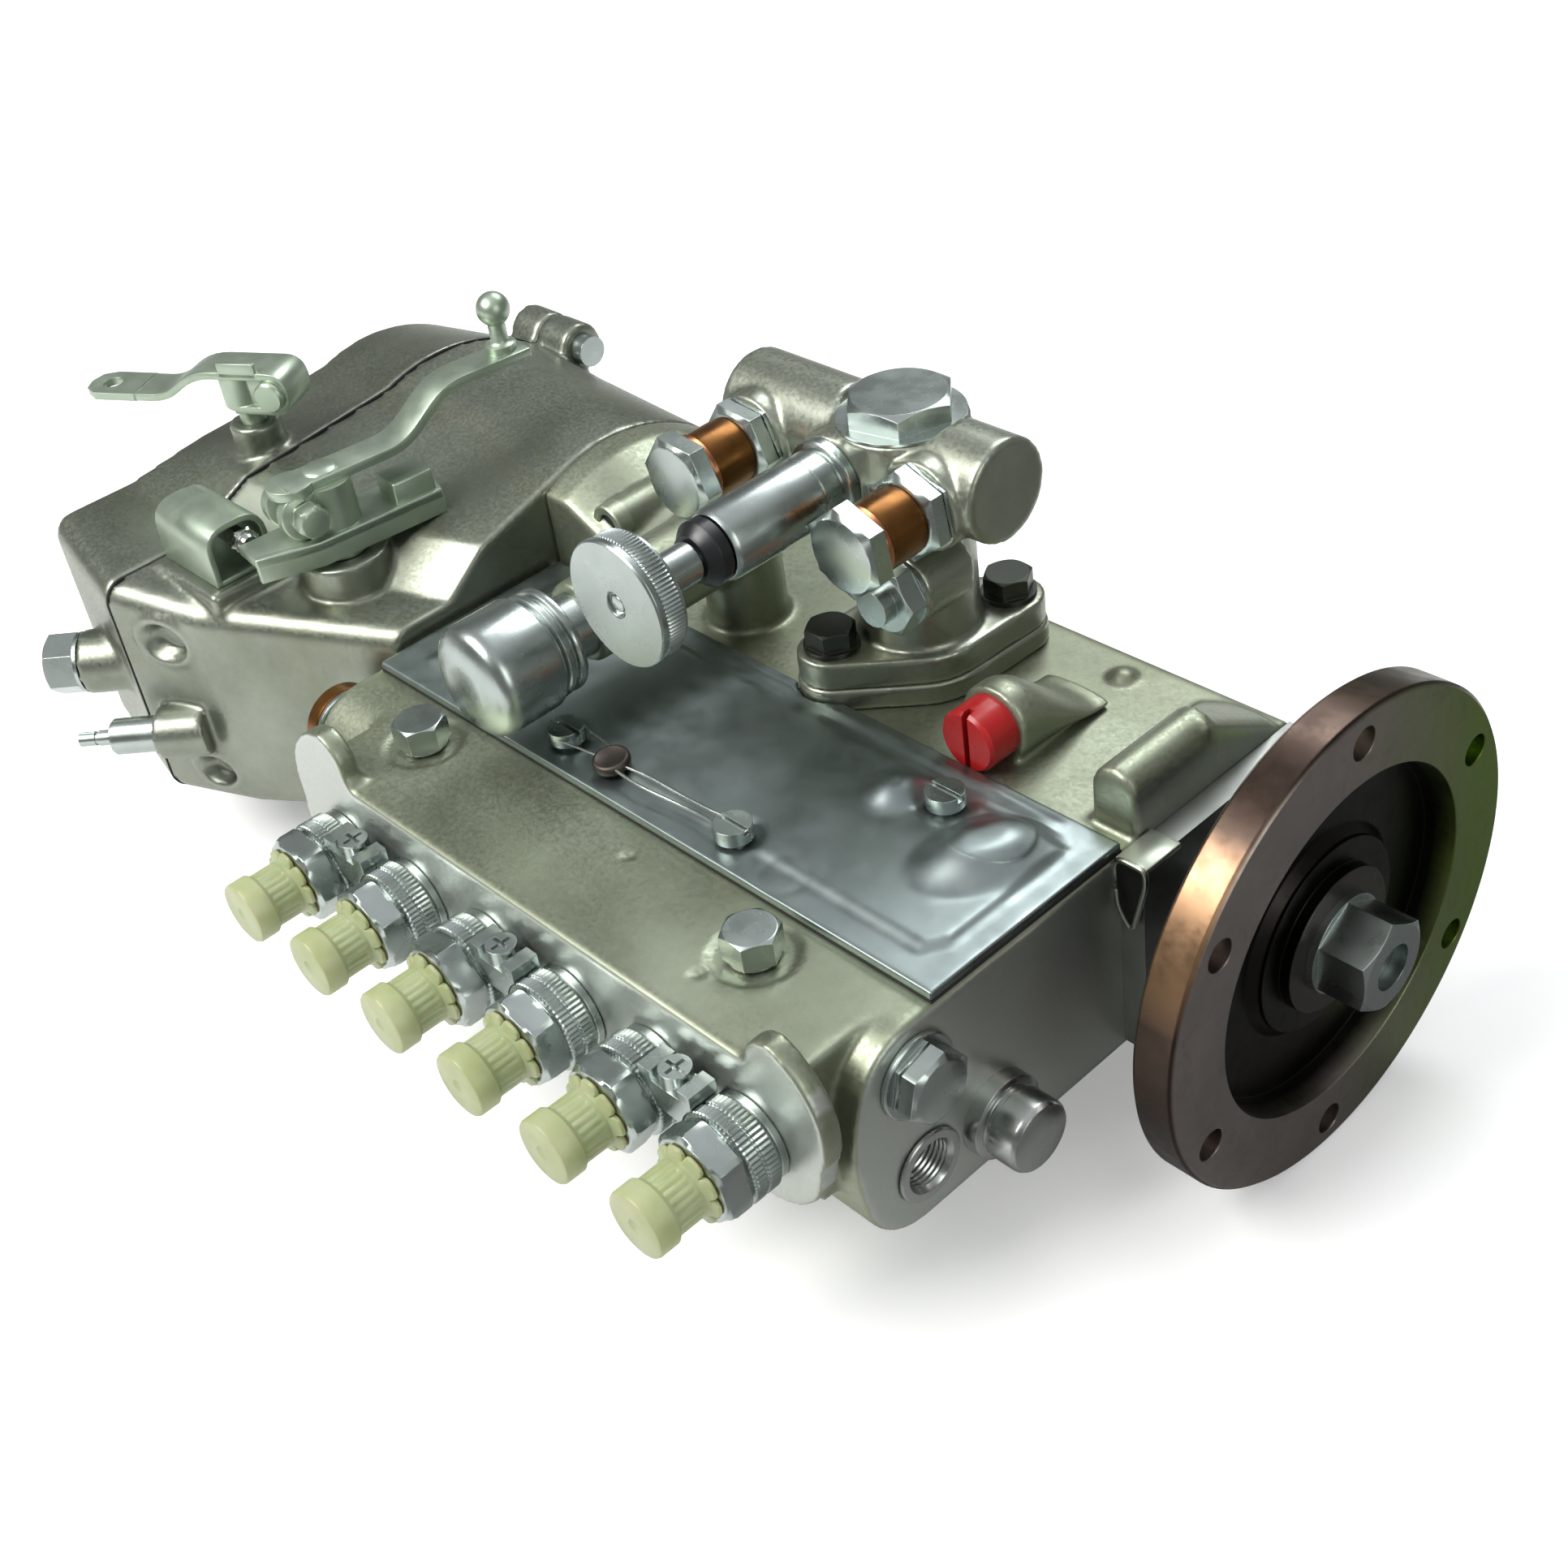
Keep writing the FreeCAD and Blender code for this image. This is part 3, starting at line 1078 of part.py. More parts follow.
def loft(body, first, *others, cut=False):
    kind = "PartDesign::SubtractiveLoft" if cut else "PartDesign::AdditiveLoft"
    feature = body.newObject(kind, body.Label + "_loft")
    feature.Profile = first
    feature.Sections = list(others)
    feature.Ruled = True
    return feature


def box_side(x):
    """Where the drafted side of the governor's box stands at a place along it."""
    share = (x - S.governor_middle) / (S.governor_split - S.governor_middle)
    return -(S.box_middle + (S.box_back - S.box_middle) * share)


CAPSULE_SEAT = (-330.0, box_side(-330.0) - 6.7, -8.0)
PLUG_SEAT = (-366.0, -(S.box_back + 3.5), 4.0)
SEAT_SWING = -45.0
LUGS = ((45.0, 45.0), (45.0, -45.0))


def make_governor():
    """Governor case with a drafted box, its rear cover, gasket and bolts."""
    split = S.governor_split
    front_x = S.housing_rear
    front = (S.case_radius_front, S.box_front, S.box_top_front, S.box_low - 2.0, 9.0)
    radius = (S.case_radius_front + S.case_radius_back) / 2
    middle = (radius, S.box_middle, S.box_top_back - 3.5, S.box_low - 1.0, 8.5)
    back = (S.case_radius_back, S.box_back, S.box_top_back, S.box_low, 5.5)
    case = new_body("governor_housing")
    sections = ((split, back), (S.governor_middle, middle), (front_x, front))
    loft(case, *[case_outline(new_sketch(case, "YZ_Plane", x), *sizes) for x, sizes in sections])
    sections = ((split, back), (S.governor_middle, middle), (front_x - S.case_wall, front))
    hollow = [case_outline(new_sketch(case, "YZ_Plane", x), *sizes, inset=S.case_wall) for x, sizes in sections]
    loft(case, *hollow, cut=True)
    shaft_hole = new_sketch(case, "YZ_Plane", front_x)
    pocket(case, circle(shaft_hole, S.bearing_outer), S.case_wall + 1.0)
    # Bosses for the control shaft, the stop bracket, the lever's pivot, the capsule and the lugs
    pad(case, circle(new_sketch(case, "XY_Plane", 20.0), 13.5, S.lever_x, S.lever_y), S.boss_top - 20.0)
    seat = new_sketch(case, "XY_Plane", S.box_top_front + 2.0)
    rectangle(seat, -339.5, -305.0, -113.0, -86.0)
    pad(case, seat, S.bracket_seat - S.box_top_front - 2.0)
    level = new_sketch(case, "XY_Plane", 60.0)
    rectangle(level, -339.5, -305.0, -113.0, -88.0)
    pocket(case, level, 60.0 - S.bracket_seat)
    pivot_low = S.case_wall / 2 - S.box_low
    pad(case, circle(new_sketch(case, "XY_Plane", pivot_low), 6.5, S.pivot_x, S.pivot_y), Size(-17.0) - pivot_low)
    pad(case, circle(tilted_sketch(case, *CAPSULE_SEAT, SEAT_SWING), 8.0), 16.0, back=True)
    for y, z in LUGS:
        pad(case, circle(new_sketch(case, "YZ_Plane", split), 8.0, y, z), 14.0)
    rack_hole = circle(new_sketch(case, "YZ_Plane", front_x), S.rack_radius + 1.0, -S.rack_height, -S.rack_offset)
    pocket(case, rack_hole, S.case_wall + 6.0)
    bore = circle(new_sketch(case, "XY_Plane", S.boss_top), S.shaft_radius + S.running, S.lever_x, S.lever_y)
    pocket(case, bore, 30.0)
    pivot_bore = circle(new_sketch(case, "XY_Plane", -17.0), 3.0 + S.seat_gap, S.pivot_x, S.pivot_y)
    pocket(case, pivot_bore, 12.0)
    pocket(case, circle(tilted_sketch(case, *CAPSULE_SEAT, SEAT_SWING), 4.0), 8.0)
    for y, z in LUGS:
        pocket(case, circle(new_sketch(case, "YZ_Plane", split + 14.0), 3.05, y, z), 14.0)
    for x, z in ((-326.0, 21.0), (-322.0, -24.0)):
        pocket(case, circle(tilted_sketch(case, x, box_side(x), z, 22.0), 5.5), 3.0)
    gasket = new_body("governor_gasket")
    ring = new_sketch(gasket, "YZ_Plane", split - S.gasket)
    case_outline(ring, *back)
    case_outline(ring, *back, inset=S.case_wall)
    pad(gasket, ring, S.gasket)
    cover = new_body("governor_cover")
    seat_x = split - S.gasket
    outer = case_outline(new_sketch(cover, "YZ_Plane", seat_x), *back)
    end = (S.case_radius_back - 6.0, S.box_back - 8.0, S.box_top_back + 4.0, S.box_low - 4.0, 4.0)
    far = case_outline(new_sketch(cover, "YZ_Plane", S.governor_back), *end)
    loft(cover, outer, far)
    inner = case_outline(new_sketch(cover, "YZ_Plane", seat_x), *back, inset=S.case_wall)
    inner_far = case_outline(new_sketch(cover, "YZ_Plane", S.governor_back + S.case_wall), *end,
                             inset=S.case_wall)
    loft(cover, inner, inner_far, cut=True)
    for y, z in LUGS:
        pad(cover, circle(new_sketch(cover, "YZ_Plane", seat_x), 8.0, y, z), 14.0, back=True)
    stop_boss = circle(new_sketch(cover, "XY_Plane", 30.0), 8.0, S.stop_x - 3.0, S.stop_y)
    pad(cover, stop_boss, S.stop_boss_top - 30.0)
    pad(cover, circle(tilted_sketch(cover, *PLUG_SEAT, SEAT_SWING), 10.0), 20.0, back=True)
    for y, z in LUGS:
        pocket(cover, circle(new_sketch(cover, "YZ_Plane", seat_x), 3.0 + S.seat_gap, y, z), 10.0)
    stop_bore = circle(new_sketch(cover, "XY_Plane", S.stop_boss_top), 4.0 + S.running, S.stop_x - 3.0, S.stop_y)
    pocket(cover, stop_bore, 34.0)
    pocket(cover, circle(tilted_sketch(cover, *PLUG_SEAT, SEAT_SWING), 5.0 + S.seat_gap), 22.0)


def make_governor_fittings():
    """Lug bolts, the spring capsule and the plug on the governor, and the pivot pin inside."""
    bolt = turned("lug_bolt", steps((5.0, 0.0), (3.0, 24.0), start=-5.0), False)
    pieces = []
    for y, z in LUGS:
        link = doc.addObject("App::Link", "lug_bolt_link")
        link.LinkedObject = bolt
        pieces.append(place(link, S.governor_split + 14.0, y, z, Rotation(Vector(0, 1, 0), -90)))
    outward = facing(-1, -1, 0)
    capsule = turned("spring_capsule", steps((3.95, 0.0), (5.6, 13.5), (5.0, 14.2), (2.4, 19.0), (1.8, 20.0),
                                             (2.2, 25.0), start=-7.0), False)
    pieces.append(place(capsule, *CAPSULE_SEAT, outward))
    plug = turned("governor_plug", steps((5.0, 0.0), (9.5, 1.2), start=-10.0), False)
    hex_stage(plug, Size(17.0), Size(1.2), Size(11.0))
    pieces.append(place(plug, *PLUG_SEAT, outward))
    pieces.append(turned("pivot_pin", steps((3.0, 15.0), (4.2, 16.5), start=-28.0), False))
    place(pieces[-1], S.pivot_x, S.pivot_y, 0.0)
    node("governor_fittings", pieces)


def make_levers():
    """Control lever with its shaft and inner arm, stop lever, and the speed stop's bracket."""
    lever = new_body("control_lever")
    plate = S.lever_plate
    low = Size(-16.0)
    top = Size(66.0)
    pad(lever, circle(new_sketch(lever, "XY_Plane", low), S.shaft_radius), top - low + plate)
    link = S.rack_stroke / (2 * math.sin(math.radians(float(S.lever_swing) / 2)))
    inner_turn = float(S.lever_lean) - float(S.lever_swing) / 2
    arm = rectangle(new_sketch(lever, "XY_Plane", low, inner_turn), -4.5, 4.5, -6.0, link + 4.0)
    pad(lever, arm, 4.0)
    peg = circle(new_sketch(lever, "XY_Plane", low, inner_turn), S.link_pin, 0.0, link)
    pad(lever, peg, 11.0, back=True)
    lower = new_sketch(lever, "XY_Plane", 49.5)
    outline(lower, [(-8.0, -27.0), (4.0, -27.0), (9.0, -9.0), (9.0, 31.0), (-3.0, 34.0), (-8.0, 20.0), (-9.0, -9.0)])
    pad(lever, lower, plate)
    block = new_sketch(lever, "XY_Plane", 52.0)
    pad(lever, rectangle(block, -4.0, 7.5, 17.0, 30.0), 7.0)
    collar = new_sketch(lever, "XY_Plane", S.boss_top + 0.3)
    pad(lever, circle(collar, 8.0), top - S.boss_top - 0.3)
    clamp_bolt = new_sketch(lever, "YZ_Plane", -12.5)
    pad(lever, circle(clamp_bolt, 4.2, -9.5, 60.0), 25.0)
    strip = new_sketch(lever, "YZ_Plane", -5.5)
    rise = Size(12.0)
    reach = S.lever_reach
    outline(strip, [
        (-15.0, top), (26.0, top), (42.0, top + rise), (reach, top + rise), (reach, top + rise + plate),
        (40.5, top + rise + plate), (24.5, top + plate), (-15.0, top + plate)])
    pad(lever, strip, 11.0)
    stud_x = reach - 6.5
    stud = new_sketch(lever, "XY_Plane", top + rise + plate)
    pad(lever, circle(stud, 4.4, 0.0, stud_x), 2.5)
    neck = new_sketch(lever, "XY_Plane", top + rise + plate)
    pad(lever, circle(neck, 2.6, 0.0, stud_x), 9.0)
    tip = top + rise + plate + 13.0
    ball = new_sketch(lever, "YZ_Plane")
    outline(ball, [(stud_x, tip - 5.0), (0, stud_x + 5.0, tip), (stud_x, tip + 5.0)])
    turned_ball = lever.newObject("PartDesign::Revolution", "control_lever_ball")
    turned_ball.Profile = ball
    turned_ball.ReferenceAxis = (ball, ["Edge2"])
    turned_ball.Angle = 360
    place(lever, S.lever_x, S.lever_y, 0.0, Rotation(Vector(0, 0, 1), -float(S.lever_lean)))
    stop = new_body("stop_lever")
    pad(stop, circle(new_sketch(stop, "XY_Plane", 27.0), 4.0), 52.0)
    strip = new_sketch(stop, "YZ_Plane", -7.0)
    outline(strip, [
        (-19.0, 76.0), (12.0, 76.0), (24.0, 68.0), (S.stop_reach + 8.0, 68.0), (S.stop_reach + 8.0, 71.0),
        (25.0, 71.0), (13.0, 79.0), (-19.0, 79.0)])
    pad(stop, strip, 14.0)
    pad(stop, circle(new_sketch(stop, "XY_Plane", 66.0), 7.0), 10.0)
    lug = new_sketch(stop, "XY_Plane", 67.0)
    pad(stop, rectangle(lug, -5.0, 5.0, -19.0, 0.0), 9.0)
    lug_bolt = new_sketch(stop, "YZ_Plane", -9.5)
    pad(stop, circle(lug_bolt, 4.0, -13.5, 72.0), 19.0)
    inner_arm = new_sketch(stop, "XY_Plane", 23.0)
    pad(stop, rectangle(inner_arm, -4.5, 4.5, -5.0, 16.0), 4.2)
    eye = new_sketch(stop, "XY_Plane", 71.0)
    pocket(stop, circle(eye, 3.2, 0.0, S.stop_reach), 3.0)
    place(stop, S.stop_x - 3.0, S.stop_y, 0.0, Rotation(Vector(0, 0, 1), 119))
    seat = S.bracket_seat
    bracket = new_body("stop_bracket_sheet", False)
    side = new_sketch(bracket, "XZ_Plane", 89.0)
    outline(side, [
        (-339.0, seat), (-307.0, seat), (-307.0, seat + 14.0), (-309.0, seat + 14.0), (-309.0, seat + 2.0),
        (-337.0, seat + 2.0), (-337.0, seat + 14.0), (-339.0, seat + 14.0)])
    pad(bracket, side, 19.0)
    hole = circle(new_sketch(bracket, "YZ_Plane", -306.0), 3.0 + S.seat_gap, -97.0, 50.0)
    pocket(bracket, hole, 34.0)
    screw = turned("stop_screw", steps((3.0, 42.0), start=0.0), False)
    hex_stage(screw, Size(10.0), Size(3.4), Size(7.0), chamfer=False)
    hex_stage(screw, Size(10.0), Size(30.0), Size(35.0), chamfer=False)
    place(screw, -346.0, -97.0, 50.0, ALONG_SHAFT)
    node("stop_bracket", [bracket, screw])


def make_flyweights():
    """Flyweight carrier on the camshaft's end, two weights, the sliding sleeve and the lever it moves."""
    tail = S.tail_radius
    pin_x = S.weight_pin_x
    height = S.weight_pin_height
    half = S.weight_width / 2
    carrier = new_body("flyweight_carrier")
    pad(carrier, circle(new_sketch(carrier, "YZ_Plane", S.carrier_front - 14.0), 13.0), 14.0)
    pad(carrier, circle(new_sketch(carrier, "YZ_Plane", S.carrier_front - 14.0), 32.0), 5.0)
    for sign in (1, -1):
        for side in (half + 0.3, -(half + 4.3)):
            ear = new_sketch(carrier, "XZ_Plane", side)
            rectangle(ear, pin_x - 5.0, S.carrier_front - 12.0, height * sign - 5.0, height * sign + 5.0)
            pad(carrier, ear, 4.0)
    pocket(carrier, circle(new_sketch(carrier, "YZ_Plane", S.carrier_front), tail + S.seat_gap), 14.0)
    for sign in (1, -1):
        weight_pin = new_sketch(carrier, "XZ_Plane", half + 4.3)
        pad(carrier, circle(weight_pin, S.weight_pin, pin_x, height * sign), half * 2 + 8.6, back=True)
    for number, sign in ((1, 1), (2, -1)):
        weight = new_body("flyweight_%d" % number)
        shape = new_sketch(weight, "XZ_Plane", -half)
        outline(shape, [
            (pin_x + 4.5, (height - 11.5) * sign), (pin_x + 4.5, (height + 4.5) * sign),
            (pin_x - 3.0, (height + 13.0) * sign), (pin_x - 28.0, (height + 13.0) * sign),
            (pin_x - 28.0, (height - 2.0) * sign), (pin_x - 5.0, (height - 2.0) * sign),
            (pin_x - 2.9, (height - 6.0) * sign), (pin_x - 2.9, (height - 11.5) * sign)])
        pad(weight, shape, half * 2)
        hole = circle(new_sketch(weight, "XZ_Plane", half), S.weight_pin + S.running, pin_x, height * sign)
        pocket(weight, hole, half * 2)
    flange = S.slide_flange_x
    sleeve = turned("governor_sleeve", [
        (tail + S.running, S.slide_end), (15.0, S.slide_end), (15.0, S.slide_end + 4.0), (11.0, S.slide_end + 4.0),
        (11.0, flange - 4.0), (19.0, flange - 4.0), (19.0, flange), (tail + S.running, flange)])
    place(sleeve, turn=ALONG_SHAFT)
    lever = new_body("governor_lever")
    hub = circle(new_sketch(lever, "XY_Plane", -16.0), 7.0, S.pivot_x, S.pivot_y)
    pad(lever, hub, 30.5)
    face = S.slide_end - 0.1
    arm = rectangle(new_sketch(lever, "XY_Plane", -14.5), face - 7.2, face - 1.2, S.pivot_y + 2.0, 9.0)
    pad(lever, arm, 29.0)
    pad(lever, circle(new_sketch(lever, "XY_Plane", -14.5), 3.0, face - 3.0, 0.0), 29.0)
    gap = new_sketch(lever, "YZ_Plane", face + 1.0)
    rectangle(gap, -20.0, 10.0, -(tail + 1.5), tail + 1.5)
    pocket(lever, gap, 9.2)
    bore = circle(new_sketch(lever, "XY_Plane", 15.0), 3.0 + S.running, S.pivot_x, S.pivot_y)
    pocket(lever, bore, 32.0)


def check_and_write():
    doc.recompute()
    for item in doc.Objects:
        if "Invalid" in item.State or "Error" in item.State:
            raise RuntimeError("%s failed: %s" % (item.Label, item.State))
    for item in doc.Objects:
        if item.TypeId in ("PartDesign::Pocket", "PartDesign::Groove", "PartDesign::SubtractiveLoft"):
            if item.Shape.Volume > item.BaseFeature.Shape.Volume - 0.5:
                raise RuntimeError("%s cuts nothing" % item.Label)
    os.makedirs("parts", exist_ok=True)
    for item in NODES:
        shape = Part.getShape(item)
        if shape.isNull() or not shape.isValid():
            raise RuntimeError("%s has no sound shape" % item.Label)
        shape.exportStep("parts/%s.step" % item.Label)


def main():
    make_housing()
    make_side_cover()
    make_cover_screws()
    make_elements()
    make_camshaft()
    make_coupling()
    make_drive_end()
    make_valve_row()
    make_rack()
    make_feed_pump()
    make_primer()
    make_breather()
    make_governor()
    make_governor_fittings()
    make_levers()
    make_flyweights()
    check_and_write()


main()
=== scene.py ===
import bpy
import bmesh
import json
import math
from mathutils import Matrix, Vector


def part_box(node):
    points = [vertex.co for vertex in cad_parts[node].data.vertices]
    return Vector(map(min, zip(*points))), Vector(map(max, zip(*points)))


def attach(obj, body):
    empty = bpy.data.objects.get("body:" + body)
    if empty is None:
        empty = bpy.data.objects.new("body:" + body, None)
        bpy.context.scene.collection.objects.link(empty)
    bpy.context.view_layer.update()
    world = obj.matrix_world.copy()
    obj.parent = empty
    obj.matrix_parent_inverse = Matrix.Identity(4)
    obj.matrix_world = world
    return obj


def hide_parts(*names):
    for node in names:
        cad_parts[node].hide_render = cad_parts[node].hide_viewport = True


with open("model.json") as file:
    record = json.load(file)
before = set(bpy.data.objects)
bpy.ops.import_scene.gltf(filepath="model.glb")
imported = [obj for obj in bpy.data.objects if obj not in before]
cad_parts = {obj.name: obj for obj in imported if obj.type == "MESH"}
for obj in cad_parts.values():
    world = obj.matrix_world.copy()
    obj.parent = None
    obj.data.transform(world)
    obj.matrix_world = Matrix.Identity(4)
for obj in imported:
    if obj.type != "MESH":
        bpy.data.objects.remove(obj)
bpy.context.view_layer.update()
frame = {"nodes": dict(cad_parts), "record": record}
nodes = frame["nodes"]
bodies = frame["record"]["behaviour"]["bodies"]
MM = 0.001

# Places on the solids, in millimetres
PITCH = 32.0  # between the six elements
FIRST = -64.5  # X of element 1
VALVE_FACE = -130.3  # Y of the face that the valves stand on
FEED_TAPPET = (-134.0, 2.0)
BREATHER = (-192.0, -40.0, 50.0)
PRIMER = (-143.5, 2.0, 85.0)
BANJOS = ((-115.0, 9.0), (-175.0, 24.0))  # X, and the hexagon's turn in degrees
BANJO_Y = -13.0
GALLERY_PLUG = (-43.3, -99.6, 8.0)
REAR_PLUG = (-258.0, -104.5, 10.0)
RACK_CAP = (-43.3, -76.0, -23.0)
FUEL_PORT = (-43.3, -98.8, -22.2)
RETURN_PORT = (-233.0, 43.5)
STOP_SCREW = (-346.0, -97.0, 50.0)
FLOOR = -0.0652  # metres


# Materials

class Graph:
    """A material's node tree with short calls for what the looks below need."""

    def __init__(self, name, edge=0.0003):
        self.material = bpy.data.materials.new(name)
        self.material.use_nodes = True
        self.tree = self.material.node_tree
        self.shader = self.tree.nodes["Principled BSDF"]
        self.where = self.tree.nodes.new("ShaderNodeTexCoord").outputs["Object"]
        if edge:
            rounded = self.add("ShaderNodeBevel", samples=4)
            rounded.inputs["Radius"].default_value = edge
            self.link(rounded.outputs["Normal"], self.shader.inputs["Normal"])

    def add(self, kind, **settings):
        node = self.tree.nodes.new(kind)
        for key, value in settings.items():
            setattr(node, key, value)
        return node

    def link(self, start, end):
        self.tree.links.new(start, end)

    def feed(self, socket, value):
        if isinstance(value, (int, float)):
            socket.default_value = value
        elif isinstance(value, tuple):
            socket.default_value = (*value, 1.0) if len(socket.default_value) == 4 else value
        else:
            self.link(value, socket)

    def noise(self, scale, detail, rough, distort=0.0):
        node = self.add("ShaderNodeTexNoise")
        node.inputs["Scale"].default_value = scale
        node.inputs["Detail"].default_value = detail
        node.inputs["Roughness"].default_value = rough
        node.inputs["Distortion"].default_value = distort
        self.link(self.where, node.inputs["Vector"])
        return node.outputs["Fac"]

    def ramp(self, source, stops):
        node = self.add("ShaderNodeValToRGB")
        elements = node.color_ramp.elements
        while len(elements) < len(stops):
            elements.new(0.5)
        for element, (place, color) in zip(elements, stops):
            element.position = place
            element.color = (*color, 1.0)
        self.link(source, node.inputs["Fac"])
        return node.outputs["Color"]

    def level(self, source, low, high, start=0.3, end=0.7):
        node = self.add("ShaderNodeMapRange")
        node.inputs["From Min"].default_value = start
        node.inputs["From Max"].default_value = end
        node.inputs["To Min"].default_value = low
        node.inputs["To Max"].default_value = high
        self.link(source, node.inputs["Value"])
        return node.outputs["Result"]

    def mix(self, factor, first, second):
        node = self.add("ShaderNodeMix", data_type="RGBA")
        for socket, value in ((node.inputs[0], factor), (node.inputs[6], first), (node.inputs[7], second)):
            self.feed(socket, value)
        return node.outputs[2]

    def math(self, operation, first, second=0.0):
        node = self.add("ShaderNodeMath", operation=operation)
        self.feed(node.inputs[0], first)
        self.feed(node.inputs[1], second)
        return node.outputs[0]

    def axis(self, letter):
        split = self.add("ShaderNodeSeparateXYZ")
        self.link(self.where, split.inputs["Vector"])
        return split.outputs[letter]

    def facing(self, letter):
        """The surface normal's part along an axis of the object."""
        coord = self.add("ShaderNodeTexCoord")
        split = self.add("ShaderNodeSeparateXYZ")
        self.link(coord.outputs["Normal"], split.inputs["Vector"])
        return split.outputs[letter]

    def bump(self, height, strength, distance):
        node = self.add("ShaderNodeBump")
        node.inputs["Strength"].default_value = strength
        node.inputs["Distance"].default_value = distance
        self.link(height, node.inputs["Height"])
        last = self.shader.inputs["Normal"]
        if last.is_linked:
            self.link(last.links[0].from_socket, node.inputs["Normal"])
        self.link(node.outputs["Normal"], last)

    def set(self, **values):
        for key, value in values.items():
            self.feed(self.shader.inputs[key.replace("_", " ")], value)


def tint(color, factor):
    return tuple(min(1.0, part * factor) for part in color)


OLIVE = (0.235, 0.235, 0.125)
CUT_FACE = (0.50, 0.53, 0.49)


def cast_metal(name, light, dark, rough=0.42, machined=None):
    """Cast alloy: mottled tone, fine skin, brighter worn edges, darker hollows of dirt and painted shade, and cut
    faces.
    """
    g = Graph(name, 0.0)
    broad = g.noise(24, 4, 0.6)
    color = g.ramp(broad, [(0.3, dark), (0.7, light)])
    stain = g.noise(9, 5, 0.65, distort=0.6)
    color = g.mix(g.level(stain, 0.0, 0.5, 0.5, 0.75), color, tint(dark, 0.72))
    olive = g.noise(17, 5, 0.62, distort=0.8)
    color = g.mix(g.level(olive, 0.0, 0.4, 0.52, 0.78), color, OLIVE)
    point = g.add("ShaderNodeNewGeometry").outputs["Pointiness"]
    color = g.mix(g.level(point, 0.0, 0.55, 0.51, 0.60), color, tint(light, 1.3))
    # Darker in the hollows: oily dirt together with painted shade.
    color = g.mix(g.level(point, 0.75, 0.0, 0.40, 0.495), color, tint(dark, 0.4))
    fine = g.noise(900, 3, 0.6)
    rough_value = g.level(fine, rough - 0.06, rough + 0.12)
    if machined:
        mask = machined(g)
        color = g.mix(mask, color, CUT_FACE)
        rough_value = g.math("SUBTRACT", rough_value, g.math("MULTIPLY", mask, 0.08))
    g.set(Base_Color=color, Metallic=0.9, Roughness=rough_value)
    grain = 0.00012
    g.bump(g.noise(1100, 4, 0.6), 0.4, grain * 0.3)
    g.bump(g.noise(160, 4, 0.6), 0.35, grain)
    return g.material


def machined_metal(name, color, rough, spread=0.1, metallic=1.0, stain=None, edge=0.0003):
    """Cut or plated metal: fine tool marks, slight colour drift and smudged roughness."""
    g = Graph(name, edge)
    drift = g.noise(60, 3, 0.6)
    base = g.mix(g.level(drift, 0.0, 1.0), tint(color, 0.88), color)
    if stain:
        spots = g.noise(150, 4, 0.6, distort=0.3)
        base = g.mix(g.level(spots, 0.0, 0.45, 0.50, 0.75), base, stain)
    smear = g.noise(110, 3, 0.55)
    g.set(Base_Color=base, Metallic=metallic)
    g.set(Roughness=g.level(smear, max(0.05, rough - spread / 2), rough + spread))
    g.bump(g.noise(500, 2, 0.5), 0.1, 0.000006)
    return g.material


def plain_soft(name, color, rough):
    """Rubber, gasket or moulded plastic."""
    g = Graph(name)
    drift = g.noise(50, 3, 0.5)
    g.set(Base_Color=g.mix(g.level(drift, 0.0, 1.0), tint(color, 0.8), color), Metallic=0.0)
    g.set(Roughness=g.level(g.noise(200, 2, 0.5), rough - 0.06, rough + 0.08))
    g.bump(g.noise(400, 3, 0.6), 0.3, 0.0001)
    return g.material


def band(g, letter, low, high):
    """1 where the object coordinate lies between low and high."""
    soft = 0.0006
    value = g.axis(letter)
    rise = g.level(value, 0.0, 1.0, low - soft, low)
    fall = g.level(value, 1.0, 0.0, high, high + soft)
    return g.math("MULTIPLY", rise, fall)


def housing_cuts(g):
    """The valve face and the drive-end face."""
    face = g.math("MULTIPLY", band(g, "Y", -0.1330, -0.1298), g.level(g.facing("Y"), 1.0, 0.0, -0.9, -0.7))
    end = g.math("MULTIPLY", band(g, "X", -0.0438, -0.0420), g.level(g.facing("X"), 0.0, 1.0, 0.7, 0.9))
    return g.math("MAXIMUM", face, end)


# Finishes, from the colours in the photograph

ALLOY = cast_metal("housing_alloy", (0.36, 0.39, 0.30), (0.24, 0.265, 0.19), machined=housing_cuts)
GOVERNOR = cast_metal("governor_alloy", (0.32, 0.345, 0.29), (0.20, 0.22, 0.175), 0.36)
PUMP = cast_metal("feed_pump_alloy", (0.37, 0.395, 0.33), (0.25, 0.27, 0.215), 0.34)
COVER = machined_metal("pressed_cover_steel", (0.285, 0.33, 0.325), 0.38, edge=0.0)
FACE = machined_metal("machined_alloy", (0.35, 0.365, 0.34), 0.42)
ZINC = machined_metal("zinc_plate", (0.46, 0.51, 0.49), 0.27, 0.06)
PALE_ZINC = machined_metal("green_zinc_plate", (0.44, 0.52, 0.42), 0.36, metallic=0.85, stain=(0.37, 0.44, 0.34))
COPPER = machined_metal("copper_brown", (0.20, 0.085, 0.022), 0.3, metallic=0.9, stain=(0.09, 0.042, 0.014))
BRIGHT_COPPER = machined_metal("copper_ring", (0.62, 0.25, 0.12), 0.3)
BLACK_BOLT = machined_metal("dark_plating", (0.07, 0.075, 0.065), 0.35)
STEEL = machined_metal("ground_steel", (0.50, 0.52, 0.50), 0.22)
LEAD = machined_metal("lead_seal", (0.10, 0.085, 0.075), 0.42, 0.14)
GASKET = plain_soft("gasket_black", (0.015, 0.015, 0.015), 0.7)
RED = plain_soft("red_plastic", (0.42, 0.012, 0.014), 0.32)
RUBBER = plain_soft("primer_rubber", (0.008, 0.009, 0.011), 0.34)
